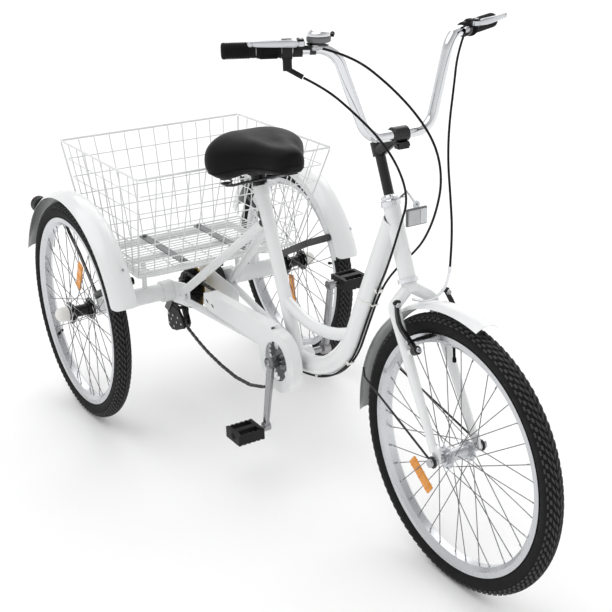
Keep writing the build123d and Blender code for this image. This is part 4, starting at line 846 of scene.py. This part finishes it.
def lever_blade(side, name, body):
    """A long pressed lever blade: a deep root, a flat middle and a ball at the tip."""
    points, wide, deep = [], [], []
    for along, ahead, up, w, d in BLADE_RUN:
        points.append(bar_point(side, along, ahead, up))
        wide.append(w / 1000)
        deep.append(d / w)
    around = 16
    verts, faces = tube_parts(points, wide, around)
    blade = []
    for i, v in enumerate(verts):
        centre = points[i // around]
        blade.append(Vector((v.x, v.y, centre.z + (v.z - centre.z) * deep[i // around])))
    round_end = []
    for k in range(11):
        a = pi * k / 10
        round_end.append((0.011 * (0.5 - 0.5 * cos(a)), 0.0058 * sin(a) + 1e-5))
    ball = lathe_parts(bar_point(side, 55, 50.4, 19.6), -bar_run(side), round_end, 20)
    hub = lathe_parts(bar_point(side, 146, 27, 9.5), UP, LEVER_HUB, 28, closed=True)
    obj = piece(f"lever_blade_{name}", *merged([(blade, faces), ball, hub]), ALLOY, body)
    crisp(obj, 40)
    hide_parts(f"brake_lever_{name}")


adjuster_profile = [(0.0, 0.0045)]
for i in range(6):
    adjuster_profile.append((0.002 + 0.002 * i, 0.0062 if i % 2 == 0 else 0.0056))
adjuster_profile += [(0.014, 0.0042), (0.020, 0.0042)]
for side, name in SIDES:
    lever_blade(side, name, f"lever_{name}")
    pin = lathe(f"lever_pin_{name}", bar_point(side, 146, 27, 22.5), UP, LEVER_PIN, STEEL, "steering", 20)
    lean = bar_run(side) + Vector((0.06, 0, 0))
    adjuster = lathe(f"cable_adjuster_{name}", bar_point(side, 168, 18, 4), lean, adjuster_profile, STEEL,
                     "steering", 24)

REAR_LENS = [(0, 0.0235), (0.0035, 0.0235), (0.0048, 0.0215), (0.0056, 0.012), (0.0058, 0.0)]
FENDER_R, FENDER_END = 334.3, radians(138)
for side, name in SIDES:
    seat = at(FENDER_R * cos(FENDER_END) + 6, side * 339, 303 + FENDER_R * sin(FENDER_END) + 14)
    lens = lathe(f"rear_lens_{name}", seat + Vector((-0.029, 0, 0)), (-1, 0, 0), REAR_LENS, RED, "frame")


# -------------------- cables
def spline_points(name, route):
    """Points along a NURBS curve that has the route as its control points."""
    curve = bpy.data.curves.new(name, "CURVE")
    curve.dimensions = "3D"
    line = curve.splines.new("NURBS")
    line.points.add(len(route) - 1)
    for point, place in zip(line.points, route):
        point.co = (*at(*place), 1)
    line.order_u = 3
    line.use_endpoint_u = True
    line.resolution_u = 10
    obj = bpy.data.objects.new(name, curve)
    bpy.context.scene.collection.objects.link(obj)
    bpy.context.view_layer.update()
    mesh = bpy.data.meshes.new_from_object(obj)
    points = [v.co.copy() for v in mesh.vertices]
    bpy.data.objects.remove(obj)
    return points


TUBE_TOP = Vector((976, 0, 754))
TUBE_CORNER = Vector((762, 0, 291))
TUBE_DOWN = (TUBE_CORNER - TUBE_TOP).normalized()
TUBE_UNDER = Vector((-TUBE_DOWN.z, 0, TUBE_DOWN.x))
TUBE_BEND, UNDER_GAP = 260.0, 26.7


def under_tube(distance, y):
    place = TUBE_TOP + TUBE_DOWN * distance + TUBE_UNDER * UNDER_GAP
    return (place.x, y, place.z)


def under_bend(angle, y):
    back = TUBE_BEND * tan(TUBE_DOWN.angle(Vector((-1, 0, 0))) / 2)
    centre = TUBE_CORNER + Vector((-back, 0, TUBE_BEND))
    reach = TUBE_BEND + UNDER_GAP + 2.8
    a = radians(angle)
    return (centre.x + reach * sin(a), y, centre.z - reach * cos(a))


REAR_BRAKE_ROUTE = (
    (974.5, -179.8, 1128), (1006, -125, 1112), (1060, -75, 1058), (1105, -38, 1000),
    (1130, -12, 940), (1133, 0, 872), (1106, 8, 800), (1066, 16, 738),
    (1016, 28, 690), (966, 16, 640), under_tube(175, 5), under_tube(300, 4.5),
    under_bend(58, 5), under_bend(43, 4.5), under_bend(28, 5), under_bend(13, 4.5),
    (560, 12, 258), (430, 42, 272), (260, 68, 276), (150, 84, 262),
    (84, 90, 238),
)
SHIFT_ROUTE = (
    (957, -204, 1071), (976, -165, 1048), (1012, -126, 1004), (1050, -86, 950),
    (1076, -60, 892), (1086, -47, 832), (1050, -38, 768), (1012, -29, 700),
    (973, -18, 640), under_tube(181, -4.5), under_tube(300, -5),
    under_bend(58, -4.5), under_bend(43, -5), under_bend(28, -4.5), under_bend(13, -5),
    (560, -12, 258), (500, -14, 268), (430, -19, 284), (260, -34, 289),
    (160, -44, 286), (100, -50, 276), (50, -53, 266), (10, -52, 258),
    (-36, -51, 246),
)
FRONT_BRAKE_ROUTE = (
    (974.5, 179.8, 1128), (1006, 134, 1092), (1034, 104, 1030), (1054, 78, 960),
    (1080, 56, 894), (1114, 38, 826), (1140, 24, 758), (1147, 14, 694),
)


NOODLE_ROUTE = ((1147, 14, 694), (1147, 10, 664), (1138, -4, 636), (1118, -18, 622), (1100, -26, 618),
                (1085, -31, 617))
FERRULE = [(0, 0.0), (0, 0.0036), (0.012, 0.0036), (0.013, 0.003), (0.013, 0.0)]


for name, route, node, body in (("cable_rear_brake", REAR_BRAKE_ROUTE, "rear_brake_cable", None),
                                ("cable_shift", SHIFT_ROUTE, "shift_cable", None),
                                ("cable_front_brake", FRONT_BRAKE_ROUTE, "front_brake_cable", "steering")):
    line = spline_points(name + "_line", route)
    cable = tube(name, line, 0.0025, CABLE, body, 10)
    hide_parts(node)
    if body is None:
        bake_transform(cable)
noodle = tube("brake_noodle", spline_points("noodle_line", NOODLE_ROUTE), 0.0028, CHROME, "steering", 12)
ferrule = lathe("noodle_ferrule", at(1147, 14.2, 698), (0, -0.1, -1), FERRULE, CHROME, "steering", 16)

# -------------------- small fittings
BLADE = Vector((151.0, 0, -272.0)).normalized()
STUD = Vector((-BLADE.z, 0, BLADE.x))
STUD_X, STUD_Y, STUD_Z = 1046, 51.5, 592
ARM_RUN = ((0, 0), (16, 5.5), (34, 13), (50, 19), (64, 21), (80, 19), (96, 15), (110, 11.5))
ARM_BOSS = [(0, 0.0045), (0, 0.0088), (0.001, 0.0094), (0.0165, 0.0094), (0.0178, 0.0084), (0.0178, 0.0045)]
ARM_BARREL = [(0, 0.0), (0, 0.0034), (0.001, 0.0040), (0.016, 0.0040), (0.017, 0.0034), (0.017, 0.0)]
SHOE_NUT = [(0, 0.0), (0, 0.0058), (0.0042, 0.0058), (0.0052, 0.0048), (0.0052, 0.0)]
PIVOT_BOLT = [(0, 0.0), (0, 0.0062), (0.004, 0.0058), (0.005, 0.0045), (0.005, 0.0026), (0.0025, 0.0026),
              (0.0025, 0.0)]
ANCHOR_BOLT = [(0, 0.0), (0, 0.0052), (0.0045, 0.0052), (0.006, 0.004), (0.006, 0.0)]
PEDAL_CAP = [(0, 0.0), (0, 0.0088), (0.003, 0.0082), (0.0042, 0.006), (0.0042, 0.0)]
CRANK_CAP = [(0, 0.0), (0, 0.0095), (0.002, 0.0092), (0.0032, 0.0078), (0.0036, 0.0)]
SCREW = [(0, 0.0), (0, 0.0036), (0.0028, 0.0033), (0.0034, 0.0024), (0.0034, 0.0)]
HUB_RING = [(0.0312, 0.0150), (0.0312, 0.0252), (0.0330, 0.0262), (0.0345, 0.0252), (0.0352, 0.0225),
            (0.0352, 0.0150)]
CRANK_LEAN, CRANK_REACH = radians(7.0), 160


def brake(side, name):
    """One curved front brake arm on its stud, with the shoe that it carries."""
    pivot = Vector((STUD_X, side * STUD_Y, STUD_Z)) + BLADE * 100 + STUD * 26.5
    out = Vector((0, side, 0))
    line = [pivot + STUD * 9 - BLADE * rise + out * bulge for rise, bulge in ARM_RUN]
    verts = []
    for i, spot in enumerate(line):
        ahead = (line[min(i + 1, len(line) - 1)] - line[max(i - 1, 0)]).normalized()
        wide = ahead.cross(STUD).normalized() * (4.4 - 0.16 * i)
        deep = STUD * (5.6 - 0.2 * i)
        for u, v in ((-1, -1), (1, -1), (1, 1), (-1, 1)):
            verts.append(at(*(spot + wide * u + deep * v)))
    faces = skin_faces(len(line), 4) + [(3, 2, 1, 0), tuple(range(len(verts) - 4, len(verts)))]
    top = line[-1] + BLADE * 5
    boss = lathe_parts(at(*pivot), STUD, ARM_BOSS, 32, closed=True)
    barrel = lathe_parts(at(*(top - out * 8)), out, ARM_BARREL, 16)
    post = pivot - BLADE * 21 + STUD * 9
    face = side * 19.0
    stem = tube_parts([at(post.x, face + side * 9, post.z), at(*(post + out * 9))], 0.0033, 12)
    arm_parts = merged([(verts, faces), boss, barrel, stem])
    arm = rounded(f"brake_arm_{name}", arm_parts, BLACK, f"brake_{name}", 0.0009)
    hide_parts(f"v_brake_{name}")
    pad = box_parts(at(post.x, face + side * 4.5, post.z), STUD, -BLADE, (0.050, 0.009, 0.009))
    shoe = rounded(f"brake_shoe_{name}", pad, RUBBER, f"brake_{name}", 0.0022)
    nut = lathe(f"brake_shoe_nut_{name}", at(*(post + out * 13)), out, SHOE_NUT, STEEL, f"brake_{name}", 6)


for side, name in SIDES:
    brake(side, name)
    pivot = Vector((STUD_X, side * STUD_Y, STUD_Z)) + BLADE * 100 + STUD * 44.0
    bolt = lathe(f"brake_pivot_bolt_{name}", at(*pivot), STUD, PIVOT_BOLT, STEEL, f"brake_{name}", 24)
    top = pivot - STUD * 4.5 - BLADE * 98 + Vector((0, side * 14.5, 0))
    anchor = lathe(f"brake_anchor_bolt_{name}", at(*top), STUD, ANCHOR_BOLT, STEEL, f"brake_{name}", 20)
    end = at(580 - side * CRANK_REACH * sin(CRANK_LEAN), side * 207,
             295 + side * CRANK_REACH * cos(CRANK_LEAN))
    cap = lathe(f"pedal_end_cap_{name}", end, (0, side, 0), PEDAL_CAP, PLASTIC, f"pedal_{name}", 24)
    crank_cap = lathe(f"crank_bolt_cap_{name}", at(580, side * 89.5, 295), (0, side, 0), CRANK_CAP, STEEL,
                      "crank", 32)

screws = []
for x, z in ((-66, 204), (-40, 206), (-8, 208), (-52, 190), (-18, 190), (12, 194), (-66, 174), (-36, 172)):
    screws.append(lathe_parts(at(x, -48.5, z), (0, -1, 0), SCREW, 16))
screw_set = crisp(piece("derailleur_screws", *merged(screws), STEEL, "derailleur"))
outline = [(-76, 222), (-62, 236), (-34, 238), (-8, 232), (14, 214), (26, 196), (22, 182), (2, 174),
           (-28, 160), (-58, 154), (-78, 162), (-82, 192)]
verts = [at(x, y, z) for y in (-49.0, -41.0) for x, z in outline]
cover = rounded("derailleur_cover", (verts, prism_faces(len(outline))), PLASTIC, "derailleur", 0.002, 3)
for (side, name), centre in zip(SIDES, (RIGHT_HUB, LEFT_HUB)):
    flange = lathe(f"hub_ring_{name}", centre, (0, side, 0), HUB_RING, STEEL, f"rear_wheel_{name}", 48,
                   closed=True)

for name, place, facing, r in (("fender_bolt_right", (268.0, -322.3, 497.3), (0.754, 0.341, 0.562), 0.0046),
                               ("fender_bolt_left", (272.9, 369.8, 476.8), (0.674, 0.602, 0.428), 0.0046),
                               ("plate_bolt", (103.0, -71.0, 317.0), (0, -1, 0), 0.0068)):
    head = [(-0.001, 0.0), (-0.001, r), (0.0012, r), (0.0026, r * 0.72), (0.0032, 0.0)]
    bolt = lathe(name, at(*place), facing, head, STEEL, "frame", 24)
# Painted shade: thin black sheets on the chain guard stand for the dark seen through its slots.
slot_shade_sheets = []
for x, z in ((219, 338.5), (250, 334)):
    slot_shade_sheets.append(box_parts(at(x, -66.1, z), (0.89, 0, -0.45), (0.45, 0, 0.89), (0.013, 0.005, 0.0006)))
slot_shade_sheets = rounded("guard_slot_shade", merged(slot_shade_sheets), PLASTIC, "frame", 0.0002)

# -------------------- stage, light and camera
FLOOR = 400     # metres from the middle to each side
floor_corners = [(-FLOOR, -FLOOR, 0), (FLOOR, -FLOOR, 0), (FLOOR, FLOOR, 0), (-FLOOR, FLOOR, 0)]
PALE = material("pale_floor", (0.96, 0.96, 0.96), rough=0.6, spread=0.05, grain=3, mottle=0.01, bump=0.01)
floor = piece("floor", floor_corners, [(0, 1, 2, 3)], PALE, None)

# A white sky, dimmer overhead than near the horizon.
world = bpy.data.worlds.new("studio")
bpy.context.scene.world = world
world.use_nodes = True
sky = world.node_tree
background = sky.nodes["Background"]
background.inputs["Strength"].default_value = 1.0
direction = sky.nodes.new("ShaderNodeTexCoord")
height = sky.nodes.new("ShaderNodeSeparateXYZ")
sky.links.new(direction.outputs["Generated"], height.inputs["Vector"])
fade = add_node(sky, "ShaderNodeMapRange", From_Min=0.15, From_Max=0.75, To_Min=1.0, To_Max=0.54)
sky.links.new(height.outputs["Z"], fade.inputs["Value"])
sky.links.new(fade.outputs["Result"], background.inputs["Color"])


def soft_sun(name, place, spread, strength):
    light = bpy.data.lights.new(name, "SUN")
    light.angle = radians(spread)
    light.energy = strength
    obj = bpy.data.objects.new(name, light)
    bpy.context.scene.collection.objects.link(obj)
    obj.location = place
    obj.rotation_euler = (-Vector(place)).to_track_quat("-Z", "Y").to_euler()


soft_sun("key", (-0.5, -0.9, 3.2), 60, 1.15)
soft_sun("back", (-2.2, 2.2, 2.6), 50, 0.8)

AZIMUTH, ELEVATION, ROLL = radians(57.085), radians(21.711), radians(-0.795)
flat = cos(ELEVATION)
look = Vector((-sin(AZIMUTH) * flat, cos(AZIMUTH) * flat, -sin(ELEVATION)))
level = look.cross(Vector((0, 0, 1))).normalized()
above = level.cross(look)
right = level * cos(ROLL) + above * sin(ROLL)
up = -level * sin(ROLL) + above * cos(ROLL)
camera_data = bpy.data.cameras.new("camera")
camera_data.lens = 67.06
camera_data.sensor_width = 36.0
camera_data.shift_x = -0.0312
camera_data.shift_y = -0.0089
camera_data.clip_start = 0.05
camera = bpy.data.objects.new("camera", camera_data)
bpy.context.scene.collection.objects.link(camera)
turn = Matrix((right, up, -look)).transposed().to_4x4()
camera.matrix_world = Matrix.Translation(at(2810.6, -1361.6, 1481.6)) @ turn
bpy.context.scene.camera = camera
bpy.context.scene.view_settings.view_transform = "Standard"
